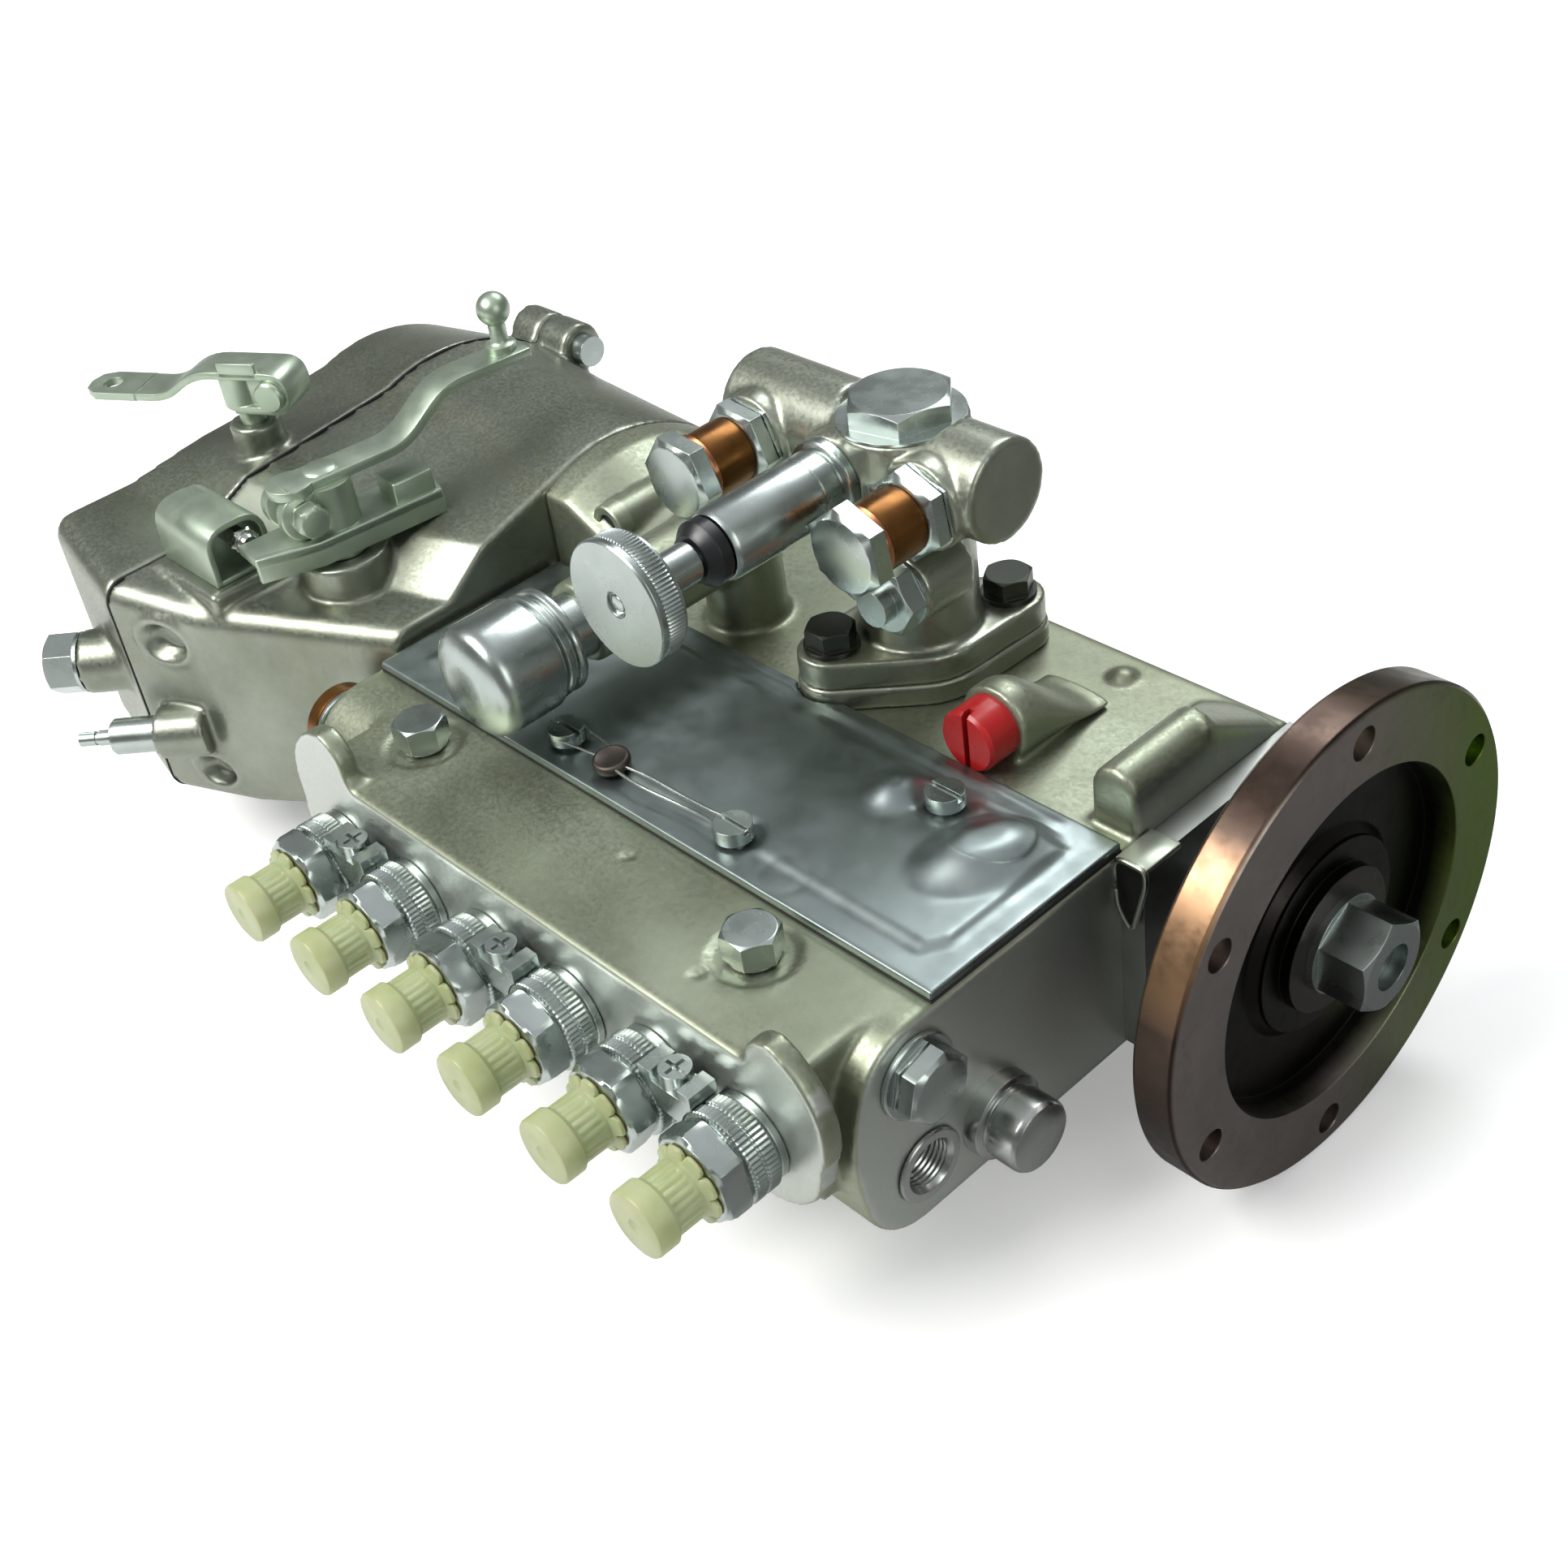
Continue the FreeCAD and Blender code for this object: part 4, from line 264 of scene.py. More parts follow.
BRIGHT_EDGE = machined_metal("sheared_edge", (0.42, 0.46, 0.38), 0.3)
RED_FACE = plain_soft("red_paint", (0.62, 0.06, 0.06), 0.45)


def pointer_finish():
    """Sheet that is near black on its faces towards ±Y and pale on all other faces, so its sheared edges and the
    tab's top are pale; the pale tab top is painted light from above.
    """
    g = Graph("pointer_sheet", 0.0005)
    broad = g.math("ABSOLUTE", g.facing("Y"))
    drift = g.noise(150, 4, 0.6)
    dark = g.mix(g.level(drift, 0.0, 1.0), (0.008, 0.009, 0.007), (0.02, 0.022, 0.018))
    # Pale wherever the face does not face ±Y: bare sheared edges, and painted light on the tab's top.
    g.set(Base_Color=g.mix(g.level(broad, 1.0, 0.0, 0.6, 0.9), dark, (0.34, 0.37, 0.31)), Metallic=0.7)
    g.set(Roughness=g.level(g.noise(260, 3, 0.6), 0.28, 0.42), Specular_IOR_Level=0.25)
    return g.material


SHEET = pointer_finish()


def flange_finish():
    """Dark oiled steel with a worn bronze patch on the rim, a painted green reflection towards +Y and painted shade
    in the recess.
    """
    g = Graph("dark_phosphate", 0.0006)
    side = g.axis("Y")
    high = g.axis("Z")
    radius = g.math("SQRT", g.math("ADD", g.math("MULTIPLY", side, side), g.math("MULTIPLY", high, high)))
    drift = g.noise(60, 4, 0.6)
    base = g.mix(g.level(drift, 0.0, 1.0), (0.33, 0.285, 0.262), (0.41, 0.352, 0.325))
    # Painted reflection: a green tint that grows towards the +Y side of the flange.
    green = (0.18, 0.31, 0.022)
    base = g.mix(g.level(side, 0.0, 0.9, 0.0, 0.055), base, green)
    rim = g.level(radius, 0.0, 1.0, 0.0640, 0.0647)
    base = g.mix(g.math("MULTIPLY", rim, 0.9), base, (0.036, 0.018, 0.010))
    patch = g.math("MULTIPLY", rim, g.math("MULTIPLY", g.level(side, 1.0, 0.0, -0.050, -0.036),
                                           g.level(high, 0.0, 1.0, 0.016, 0.030)))
    bronze = (0.42, 0.25, 0.14)
    base = g.mix(g.math("MULTIPLY", patch, 0.85), base, bronze)
    worn = g.noise(110, 5, 0.7, distort=0.5)
    base = g.mix(g.level(worn, 0.0, 0.3, 0.55, 0.75), base, (0.11, 0.075, 0.05))
    # Painted shade: near black in the recess inside 46 mm radius.
    recess = g.math("MULTIPLY", g.level(radius, 1.0, 0.0, 0.0448, 0.0460),
                    g.level(g.axis("X"), 1.0, 0.0, -0.0024, -0.0004))
    base = g.mix(g.math("MULTIPLY", recess, 0.95), base, (0.006, 0.005, 0.0045))
    g.set(Base_Color=base, Metallic=1.0)
    g.set(Roughness=g.level(g.noise(180, 4, 0.6), 0.26, 0.42))
    g.bump(g.noise(700, 3, 0.6), 0.3, 0.00003)
    return g.material


DARK = flange_finish()


def cap_plastic():
    """Milky yellow-green plastic."""
    g = Graph("cap_plastic")
    drift = g.noise(120, 3, 0.5)
    g.set(Base_Color=g.mix(g.level(drift, 0.0, 1.0), (0.50, 0.56, 0.27), (0.62, 0.66, 0.40)), Metallic=0.0)
    g.set(Roughness=0.35, IOR=1.5, Transmission_Weight=0.45, Subsurface_Weight=0.3, Subsurface_Scale=0.004)
    g.bump(g.noise(700, 2, 0.5), 0.3, 0.0001)
    return g.material


CAP = cap_plastic()

# The finish of each node; the others are zinc plated
LOOKS = {
    "pump_housing": ALLOY, "feed_pump_body": PUMP, "governor_housing": GOVERNOR, "governor_cover": GOVERNOR,
    "side_cover": COVER, "side_cover_gasket": GASKET, "governor_gasket": GASKET, "feed_pump_adapter": PUMP,
    "drive_end_plate": FACE, "coupling_flange": DARK, "banjo_sleeves": COPPER, "vent_plug": RED,
    "feed_pump_nuts": BLACK_BOLT, "protection_caps": CAP, "control_lever": PALE_ZINC, "stop_lever": PALE_ZINC,
    "stop_bracket": PALE_ZINC, "timing_pointer": SHEET, "fuel_port_sleeve": STEEL, "shaft_seal": GASKET,
}
for name, node in nodes.items():
    for slot in node.material_slots:
        slot.material = LOOKS.get(name, ZINC)


# Pieces

def body_name(node):
    """The body that a node moves with."""
    return next(body for body, members in bodies.items() if node in members)


def add_piece(name, mesh, material, node=None, body="housing", angle=32):
    """A finished piece that rides on a body or, where a node is named, rides on its body and stands for it."""
    piece = bpy.data.objects.new(name, mesh)
    bpy.context.scene.collection.objects.link(piece)
    mesh.materials.clear()
    mesh.materials.append(material)
    mesh.shade_smooth()
    if angle:
        mesh.set_sharp_from_angle(angle=math.radians(angle))
    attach(piece, body_name(node) if node else body)
    if node:
        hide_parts(node)


def remeshed(source, voxel, passes, extra=()):
    """A closed skin around a node's solids and any extra forms, with its edges rounded."""
    mesh = source.data.copy()
    if extra:
        gather = bmesh.new()
        gather.from_mesh(mesh)
        for form in extra:
            gather.from_mesh(form)
            bpy.data.meshes.remove(form)
        gather.to_mesh(mesh)
        gather.free()
    holder = bpy.data.objects.new("holder", mesh)
    bpy.context.scene.collection.objects.link(holder)
    remesh = holder.modifiers.new("remesh", "REMESH")
    remesh.mode = "VOXEL"
    remesh.voxel_size = voxel * MM
    smooth = holder.modifiers.new("smooth", "SMOOTH")
    smooth.factor = 0.5
    smooth.iterations = passes
    ready = holder.evaluated_get(bpy.context.evaluated_depsgraph_get())
    made = bpy.data.meshes.new_from_object(ready)
    bpy.data.objects.remove(holder)
    bpy.data.meshes.remove(mesh)
    return made


def ease(value, low, high):
    """0 below low, 1 above high, smooth between."""
    share = min(1.0, max(0.0, (value - low) / (high - low)))
    return share * share * (3 - 2 * share)


def edge_distance(x, y, corners):
    """Signed distance to a closed outline, positive inside, in millimetres."""
    best = 1e9
    odd = False
    for (x1, y1), (x2, y2) in zip(corners, corners[1:] + corners[:1]):
        dx, dy = x2 - x1, y2 - y1
        share = max(0.0, min(1.0, ((x - x1) * dx + (y - y1) * dy) / (dx * dx + dy * dy)))
        best = min(best, math.hypot(x - x1 - share * dx, y - y1 - share * dy))
        if (y1 > y) != (y2 > y) and x < x1 + dx * (y - y1) / dy:
            odd = not odd
    return best if odd else -best


# Outline of the side cover's raised panel, its screws' seats and its knob
PANEL = [(-246.0, -84.5), (-54.0, -84.5), (-50.0, -78.0), (-50.0, -36.0), (-246.0, -33.5)]
LOWER_SEATS = ((-182.1, -82.5), (-117.4, -82.5))
UPPER_SEAT = (-85.4, -42.1)
KNOB = (-98.0, -46.5)
SHEET_THICKNESS = 2.4


def blister(x, y):
    """1 in the middle of the pressing's oval swelling by the drive end, 0 outside it, smooth between."""
    dx, dy = x + 65.0, y + 50.5
    cos, sin = math.cos(math.radians(73.0)), math.sin(math.radians(73.0))
    far = math.hypot((dx * cos + dy * sin) / 21.5, (dy * cos - dx * sin) / 14.0)
    return 1 - ease(far, 0.25, 1.0)


def cover_height(x, y):
    """How far the pressing stands above the flat sheet."""
    panel = edge_distance(x, y, PANEL)
    high = 1.3 * ease(panel, 0.0, 3.2) + 0.5 * ease(panel, 5.0, 26.0)
    high += 5.0 * blister(x, y)
    knob = math.hypot(x - KNOB[0], (y - KNOB[1]) * 0.9)
    high += 3.8 * (1 - ease(knob, 1.5, 9.5))
    high *= ease(math.hypot(x - UPPER_SEAT[0], y - UPPER_SEAT[1]), 4.5, 8.0)
    for seat_x, seat_y in LOWER_SEATS:
        high *= ease(math.hypot(x - seat_x, y - seat_y), 5.5, 8.5)
    imprint = abs(math.hypot(x + 98.0, y + 84.8) - 6.0)
    high -= 0.25 * (1 - ease(imprint, 0.0, 1.0))
    bead = abs(y + 30.6 + (x + 140) * 0.006)
    if -235.0 < x < -58.0:
        high += 0.7 * (1 - ease(bead, 0.6, 2.2))
    return high


def dress_cover():
    """The side cover's pressed panel, bead, blister and knob."""
    mesh = remeshed(nodes["side_cover"], 0.7, 2)
    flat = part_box("side_cover")[0].z / MM + SHEET_THICKNESS
    work = bmesh.new()
    work.from_mesh(mesh)
    top = [vertex for vertex in work.verts if vertex.co.z / MM > flat - 0.9]
    for vertex in top:
        vertex.co.z = (flat + cover_height(vertex.co.x / MM, vertex.co.y / MM)) * MM
    for _ in range(8):
        bmesh.ops.smooth_vert(work, verts=top, factor=0.5, use_axis_z=True)
    work.to_mesh(mesh)
    work.free()
    add_piece("side_cover_pressed", mesh, COVER, "side_cover", angle=0)


def hull(points):
    """The closed skin around points given in millimetres."""
    form = bmesh.new()
    for point in points:
        form.verts.new(Vector(point) * MM)
    bmesh.ops.convex_hull(form, input=form.verts)
    mesh = bpy.data.meshes.new("hull")
    form.to_mesh(mesh)
    form.free()
    return mesh


def boss_fairings():
    """The end boss's run-out into the top face, and the small port boss behind the feed pump."""
    section = [(-57.0, 23.0), (-56.6, 33.0), (-54.0, 38.4), (-50.0, 40.8), (-46.5, 41.0), (-44.2, 40.0),
               (-43.6, 36.0), (-43.6, 23.0)]
    tail = [(-66.0, 32.0, 22.6), (-60.0, 34.0, 23.4), (-52.0, 34.0, 24.4), (-46.0, 33.0, 25.2), (-43.6, 31.0, 25.0),
            (-43.6, 34.0, 22.0), (-66.0, 20.0, 22.0)]
    turns = [math.radians(a) for a in range(0, 360, 12)]
    port_x, port_z = RETURN_PORT
    port = [(port_x + 6.3 * math.cos(a), y, port_z + 6.3 * math.sin(a)) for a in turns for y in (-21.0, 8.0)]
    port += [(port_x, 24.0, 30.0), (port_x - 7.0, 20.0, 30.0)]
    return [hull([(x, 6.0, z) for x, z in section] + tail), hull(port)]


def flank(x):
    """Y of the governor box's drafted side, which bends at X -312."""
    past = x + 312.0
    return -119.0 + (11.0 * past / 29.0 if past < 0 else 34.0 * past / 54.0)


# Middle X and Z of the governor's bolt recesses, half their length and half their width
RECESSES = ((-324.5, 22.5, 8.0, 6.4), (-321.5, -24.5, 6.8, 5.2))


def shape_governor(mesh):
    """The two bolt recesses in the box's side, each with a raised rim."""
    for vertex in mesh.vertices:
        x, y, z = vertex.co / MM
        side = flank(x)
        if not side - 3.0 < y < side + 4.6:
            continue
        for middle_x, middle_z, half_long, half_wide in RECESSES:
            far = math.hypot((x - middle_x) / half_long, (z - middle_z) / half_wide)
            if far < 1.5:
                floor = 4.4 * (1 - ease(far, 0.62, 1.0))
                rim = 0.8 * ease(far, 0.95, 1.12) * (1 - ease(far, 1.15, 1.5))
                vertex.co.y = (side + floor - rim) * MM


BORE_RADIUS = 12.5
HEAD_BOLTS = ((-217.6, -104.8), (-86.6, -105.4))
CAST_PITS = ((-137.0, -101.0), (-92.0, -118.0))


def shape_housing(mesh):
    """The feed tappet's bore, spot faces, cast marks and the red plug's tapering boss."""
    bore_x, bore_y = FEED_TAPPET
    for vertex in mesh.vertices:
        x, y, z = vertex.co / MM
        bore = math.hypot(x - bore_x, y - bore_y)
        if 9.0 < bore < BORE_RADIUS and z < 23.5:
            vertex.co.x = (bore_x + (x - bore_x) * BORE_RADIUS / bore) * MM
            vertex.co.y = (bore_y + (y - bore_y) * BORE_RADIUS / bore) * MM
        if z < 18.0:
            continue
        for bolt_x, bolt_y in HEAD_BOLTS:
            far = math.hypot(x - bolt_x, y - bolt_y)
            if z > 21.0 and far < 12.0:
                z -= 0.7 * (1 - ease(far, 10.4, 11.2)) * ease(far, 5.0, 6.0)
        if abs(x + 93.0) < 12.5 and z > 23.2 and y > -12.0:
            z = 22.9 + (z - 22.9) * (1 - 0.85 * ease(y, -12.0, 14.0))
        if z < 26.0:
            bump = math.hypot(x + 88.0, y - 28.0)
            z += 2.2 * (1 - ease(bump, 1.0, 5.0))
            for pit_x, pit_y in CAST_PITS:
                z -= 0.8 * (1 - ease(math.hypot(x - pit_x, y - pit_y), 0.6, 2.2))
        vertex.co.z = z * MM


def dress_castings():
    """The castings with their edges rounded, each from its own solid."""
    for name, voxel, passes, look in (
            ("pump_housing", 1.05, 5, ALLOY), ("governor_housing", 1.1, 6, GOVERNOR),
            ("governor_cover", 1.15, 6, GOVERNOR), ("feed_pump_body", 0.9, 3, PUMP),
            ("feed_pump_adapter", 0.9, 2, PUMP)):
        mesh = remeshed(nodes[name], voxel, passes, boss_fairings() if name == "pump_housing" else ())
        if name == "pump_housing":
            shape_housing(mesh)
        if name == "governor_housing":
            shape_governor(mesh)
        add_piece(name + "_cast", mesh, look, name, angle=0)


def lathe(profile, sides, shape=None):
    """A turned mesh around +Z through (radius, height) points, closed at both ends where it has to be.

    shape(angle, radius, height) may change a point's radius, for a hexagon or a knurl.
    """
    mesh = bmesh.new()
    rings = []
    for radius, height in profile:
        if radius < 1e-6:
            rings.append([mesh.verts.new((0.0, 0.0, height * MM))])
            continue
        ring = []
        for step in range(sides):
            angle = 2 * math.pi * step / sides
            far = shape(angle, radius, height) if shape else radius
            ring.append(mesh.verts.new((far * math.cos(angle) * MM, far * math.sin(angle) * MM, height * MM)))
        rings.append(ring)
    for lower, upper in zip(rings, rings[1:]):
        for step in range(sides):
            after = (step + 1) % sides
            if len(lower) == 1 and len(upper) == 1:
                continue
            if len(lower) == 1:
                mesh.faces.new((lower[0], upper[after], upper[step]))
            elif len(upper) == 1:
                mesh.faces.new((lower[step], lower[after], upper[0]))
            else:
                mesh.faces.new((lower[step], lower[after], upper[after], upper[step]))
    if len(rings[0]) > 1 and len(rings[-1]) > 1 and profile[0] != profile[-1]:
        mesh.faces.new(list(reversed(rings[0])))
        mesh.faces.new(rings[-1])
    return mesh


def hexagon_limit(flats, turn=0.0):
    """The radius of a hexagon's outline at an angle, no larger than the turned radius."""
    def limit(angle, radius, height):
        part = (angle - turn + math.pi / 6) % (math.pi / 3) - math.pi / 6
        return min(radius, flats / 2 / math.cos(part))
    return limit


def gathered(forms, matrix=Matrix.Identity(4)):
    """One mesh from several pairs of a bmesh and its own matrix, all placed by a common one."""
    whole = bmesh.new()
    for form, own in forms:
        copy = form.copy()
        copy.transform(matrix @ own)
        joined = bpy.data.meshes.new("part")
        copy.to_mesh(joined)
        copy.free()
        whole.from_mesh(joined)
        bpy.data.meshes.remove(joined)
    mesh = bpy.data.meshes.new("gathered")
    bmesh.ops.recalc_face_normals(whole, faces=whole.faces)
    whole.to_mesh(mesh)
    whole.free()
    return mesh


def upright(x, y, z, turn=0.0):
    """Local +Z to the frame's -Y, as the valves stand."""
    stand = Matrix.Rotation(math.radians(90), 4, "X")
    return Matrix.Translation((x * MM, y * MM, z * MM)) @ stand @ Matrix.Rotation(turn, 4, "Z")


def ridged(teeth, depth, low, high, least):
    """A knurl between two heights, where the radius is more than the least one."""
    def shape(angle, radius, height):
        if low < height < high and radius > least:
            return radius - depth * tooth(angle, teeth)
        return radius
    return shape


def tooth(angle, count):
    """1 at the teeth's gaps and 0 at their tips, around a turn."""
    return abs(((angle * count / (2 * math.pi)) % 1.0) - 0.5) * 2


def cap_shape(angle, radius, height):
    """The soft cap's scalloped skirt and its fine ribs."""
    if radius > 9.6 and height < 20.5:
        return radius - 2.2 * tooth(angle, 9) ** 4
    return ridged(24, 0.35, 22.0, 28.4, 7.3)(angle, radius, height)


HOLDER_TURNS = (7, 31, 12, 44, 3, 25)  # degrees, as each was tightened


def dress_valves():
    """Holders with knurled collars and hexagons, and ribbed soft caps on them."""
    collar = lathe([
        (9.0, 0.0), (11.3, 0.0), (11.6, 0.3), (11.6, 1.9), (11.3, 2.3), (11.0, 2.5), (12.0, 2.8), (12.45, 3.2),
        (12.45, 6.2), (12.0, 6.5), (12.0, 7.0), (12.45, 7.3), (12.45, 9.9), (12.1, 10.3), (11.2, 10.6),
        (9.0, 10.6)], 240, ridged(60, 0.45, 3.0, 10.4, 11.5))
    hexagon = lathe([
        (6.4, 10.6), (10.6, 10.6), (12.1, 11.4), (12.75, 12.3), (12.75, 16.6), (12.2, 17.6), (11.0, 18.4),
        (10.4, 18.6), (6.4, 18.6)], 96, hexagon_limit(22.0))
    threads = [(1.5, 31.0), (5.4, 31.0), (6.5, 30.0)]
    top = 29.6
    while top > 19.4:
        threads += [(6.75, top), (6.2, top - 0.6), (6.75, top - 1.2)]
        top -= 1.25
    threads += [(6.5, 18.5), (1.5, 18.5)]
    outlet = lathe(list(reversed(threads)), 48)
    matrices = [upright(FIRST - PITCH * number, VALVE_FACE, 0.0, math.radians(turn))
                for number, turn in enumerate(HOLDER_TURNS)]
    mesh = gathered([(form, matrix) for matrix in matrices for form in (collar, hexagon, outlet)])
    add_piece("delivery_valve_holders_dressed", mesh, ZINC, "delivery_valve_holders", angle=28)

    cap = lathe([
        (6.9, 18.9), (10.1, 18.9), (10.3, 19.3), (10.1, 19.9), (8.3, 20.4), (7.7, 21.0), (7.7, 22.0), (7.75, 22.4),
        (7.75, 28.0), (7.7, 28.5), (8.3, 29.1), (8.7, 29.6), (8.7, 34.4), (8.4, 35.0), (7.6, 35.3), (2.0, 35.2),
        (1.4, 34.8), (0.0, 34.7), (0.0, 31.2), (6.9, 31.2), (6.9, 18.9)], 216, cap_shape)
    add_piece("protection_caps_ribbed", gathered([(cap, matrix) for matrix in matrices]), CAP, "protection_caps",
              angle=30)


def along(x, y, z, turn=0.0):
    """Local +Z to the frame's +X, or to -X where turn is 180."""
    stand = Matrix.Rotation(math.radians(90 + turn), 4, "Y")
    return Matrix.Translation((x * MM, y * MM, z * MM)) @ stand


def arc(radius, height, size, start, end, count):
    """Profile points of a rounded edge."""
    made = []
    for step in range(count + 1):
        angle = math.radians(start + (end - start) * step / count)
        made.append((radius + size * math.cos(angle), height + size * math.sin(angle)))
    return made


def prism(outline, low, high, round_edge, matrix=None):
    """A plate with an outline in XY between two heights, its edges rounded."""
    form = bmesh.new()
    base = [form.verts.new((x * MM, y * MM, low * MM)) for x, y in outline]
    roof = [form.verts.new((x * MM, y * MM, high * MM)) for x, y in outline]
    form.faces.new(list(reversed(base)))
    form.faces.new(roof)
    for step in range(len(outline)):
        after = (step + 1) % len(outline)
        form.faces.new((base[step], base[after], roof[after], roof[step]))
    bmesh.ops.recalc_face_normals(form, faces=form.faces)
    sharp = [edge for edge in form.edges if edge.calc_face_angle(0.0) > math.radians(40)]
    bmesh.ops.bevel(form, geom=sharp, offset=round_edge * MM, segments=2, affect="EDGES", profile=0.5)
    return form, matrix or Matrix.Identity(4)


def rounded_path(points, radius):
    """A path in a plane with its corners rounded."""
    count = 5
    made = [points[0]]
    for before, corner, after in zip(points, points[1:], points[2:]):
        first = Vector(before) - Vector(corner)
        second = Vector(after) - Vector(corner)
        cut = min(radius, first.length * 0.45, second.length * 0.45)
        start = Vector(corner) + first.normalized() * cut
        end = Vector(corner) + second.normalized() * cut
        for step in range(count + 1):
            share = step / count
            place = start * (1 - share) ** 2 + Vector(corner) * 2 * share * (1 - share) + end * share ** 2
            made.append(tuple(place))
    return made + [points[-1]]


def strip(path, width, thick, radius):
    """A bent sheet: a path in the YZ plane, given thickness and extruded along X."""
    path = rounded_path(path, radius)
    left, right = [], []
    for step, place in enumerate(path):
        ahead = Vector(path[min(step + 1, len(path) - 1)]) - Vector(path[max(step - 1, 0)])
        side = Vector((-ahead.y, ahead.x)).normalized() * thick / 2
        left.append(tuple(Vector(place) + side))
        right.append(tuple(Vector(place) - side))
    stand = Matrix(((0, 0, 1, 0), (1, 0, 0, 0), (0, 1, 0, 0), (0, 0, 0, 1)))
    return prism(left + list(reversed(right)), -width / 2, width / 2, 0.35, stand)


def disc(x, y, z, axis, profile, sides=48, shape=None):
    """A turned form at a place in millimetres, along X, -X, -Y or Z."""
    matrix = {"X": along(x, y, z), "-X": along(x, y, z, 180.0), "-Y": upright(x, y, z),
              "Z": Matrix.Translation((x * MM, y * MM, z * MM))}[axis]
    return lathe(profile, sides, shape), matrix


def turned(name, place, axis, profile, look, node=None, sides=72, shape=None, body="housing", angle=32):
    """A piece of one turned form."""
    add_piece(name, gathered([disc(*place, axis, profile, sides, shape)]), look, node, body, angle)


def rod(radius, length):
    """Profile of a plain pin."""
    return [(0.0, 0.0), (radius, 0.0), (radius, length), (0.0, length)]


def hex_head(flats, low, high, washer=0.0):
    """Profile of a hexagon head with chamfered corners, on its washer face where it has one."""
    wide = flats / math.sqrt(3)
    face = flats * 0.47
    points = [(0.0, low)]
    if washer:
        points += [(washer, low), (washer, low + 0.9), (flats * 0.49, low + 1.2)]
        low += 1.2
    return points + [(face, low), (wide, low + 0.5), (wide, high - 1.2), (face, high - 0.25), (face - 0.6, high),
                     (0.0, high)]


def dress_primer():
    """The hand primer's barrel, its piston with the knurled knob, and its rubber seal."""
    barrel = [(5.95, 4.0), (5.95, 17.5), (10.9, 17.5), (11.2, 17.9), (11.2, 20.0), (10.8, 20.5), (9.2, 20.8),
              (9.2, 21.6), (9.5, 22.0), (9.5, 27.0), (9.3, 27.3), (9.5, 27.6), (9.5, 55.2), (9.2, 56.0), (8.7, 56.8),
              (4.05, 56.8), (4.05, 51.0), (5.0, 51.0), (5.0, 4.0), (5.95, 4.0)]
    turned("primer_barrel_turned", PRIMER, "-Y", barrel, ZINC, "primer_barrel", 96)
    piston = [(0.0, 16.0), (4.95, 16.0), (4.95, 24.0), (4.0, 24.0), (4.0, 64.0), (5.2, 64.4), (5.2, 74.0),
              (6.0, 74.6), (8.4, 75.2), (8.4, 78.0), (14.6, 78.4), (15.4, 78.8), (15.4, 79.6), (15.9, 79.8),
              (16.3, 80.1), (16.3, 84.6), (15.8, 85.0), (16.0, 85.3), (16.5, 85.6), (16.5, 86.9), (16.1, 87.5),
              (3.6, 87.5), (3.2, 87.2), (3.2, 86.2), (2.3, 86.2), (2.1, 86.8), (1.2, 87.2), (0.0, 87.3)]
    knurl = ridged(96, 0.5, 80.0, 84.8, 16.0)
    turned("primer_piston_turned", PRIMER, "-Y", piston, ZINC, "primer_piston", 384, knurl, angle=28)
    seal = [(4.2, 57.2), (8.2, 57.2), (8.6, 57.6), (8.6, 60.6), (8.2, 61.2), (6.8, 62.6), (6.2, 63.6), (4.2, 63.6),
            (4.2, 57.2)]
    turned("primer_seal", PRIMER, "-Y", seal, RUBBER, body="primer_piston")


def dress_banjos():
    """The two banjo connections: hexagon base and cap, copper-brown sleeve and copper ring."""
    flats = 21.0
    base = [(8.0, 0.0), (12.0, 0.0), (12.0, 0.8), (11.2, 1.0)] + hex_head(flats, 1.0, 6.5)[1:-1]
    base += [(8.0, 6.5), (8.0, 0.0)]
    head = [(4.8, 19.6)] + hex_head(flats, 20.5, 27.0)[1:-1] + [(0.0, 26.8)]
    ring = [(5.0, 18.6), (9.4, 18.6), (9.75, 18.9), (9.75, 20.1), (9.4, 20.45), (5.0, 20.45), (5.0, 18.6)]
    sleeve = [(5.0, 6.5), (8.6, 6.5), (9.0, 6.9), (9.1, 9.0), (9.1, 16.5), (8.8, 18.6), (5.0, 18.6), (5.0, 6.5)]
    bolts = []
    rings = []
    sleeves = []
    for x, turn in BANJOS:
        matrix = upright(x, BANJO_Y, PRIMER[2], math.radians(turn))
        bolts += [(lathe(base, 96, hexagon_limit(flats)), matrix), (lathe(head, 96, hexagon_limit(flats)), matrix),
                  (lathe([(0.0, 0.0), (4.9, 0.0), (4.9, 21.0), (0.0, 21.0)], 32), matrix)]
        rings.append((lathe(ring, 72), matrix))
        sleeves.append((lathe(sleeve, 72), matrix))
    add_piece("banjo_hexagons", gathered(bolts), ZINC, "banjo_bolts", angle=28)
    add_piece("banjo_sleeves_turned", gathered(sleeves), COPPER, "banjo_sleeves")
    add_piece("banjo_rings", gathered(rings), BRIGHT_COPPER)


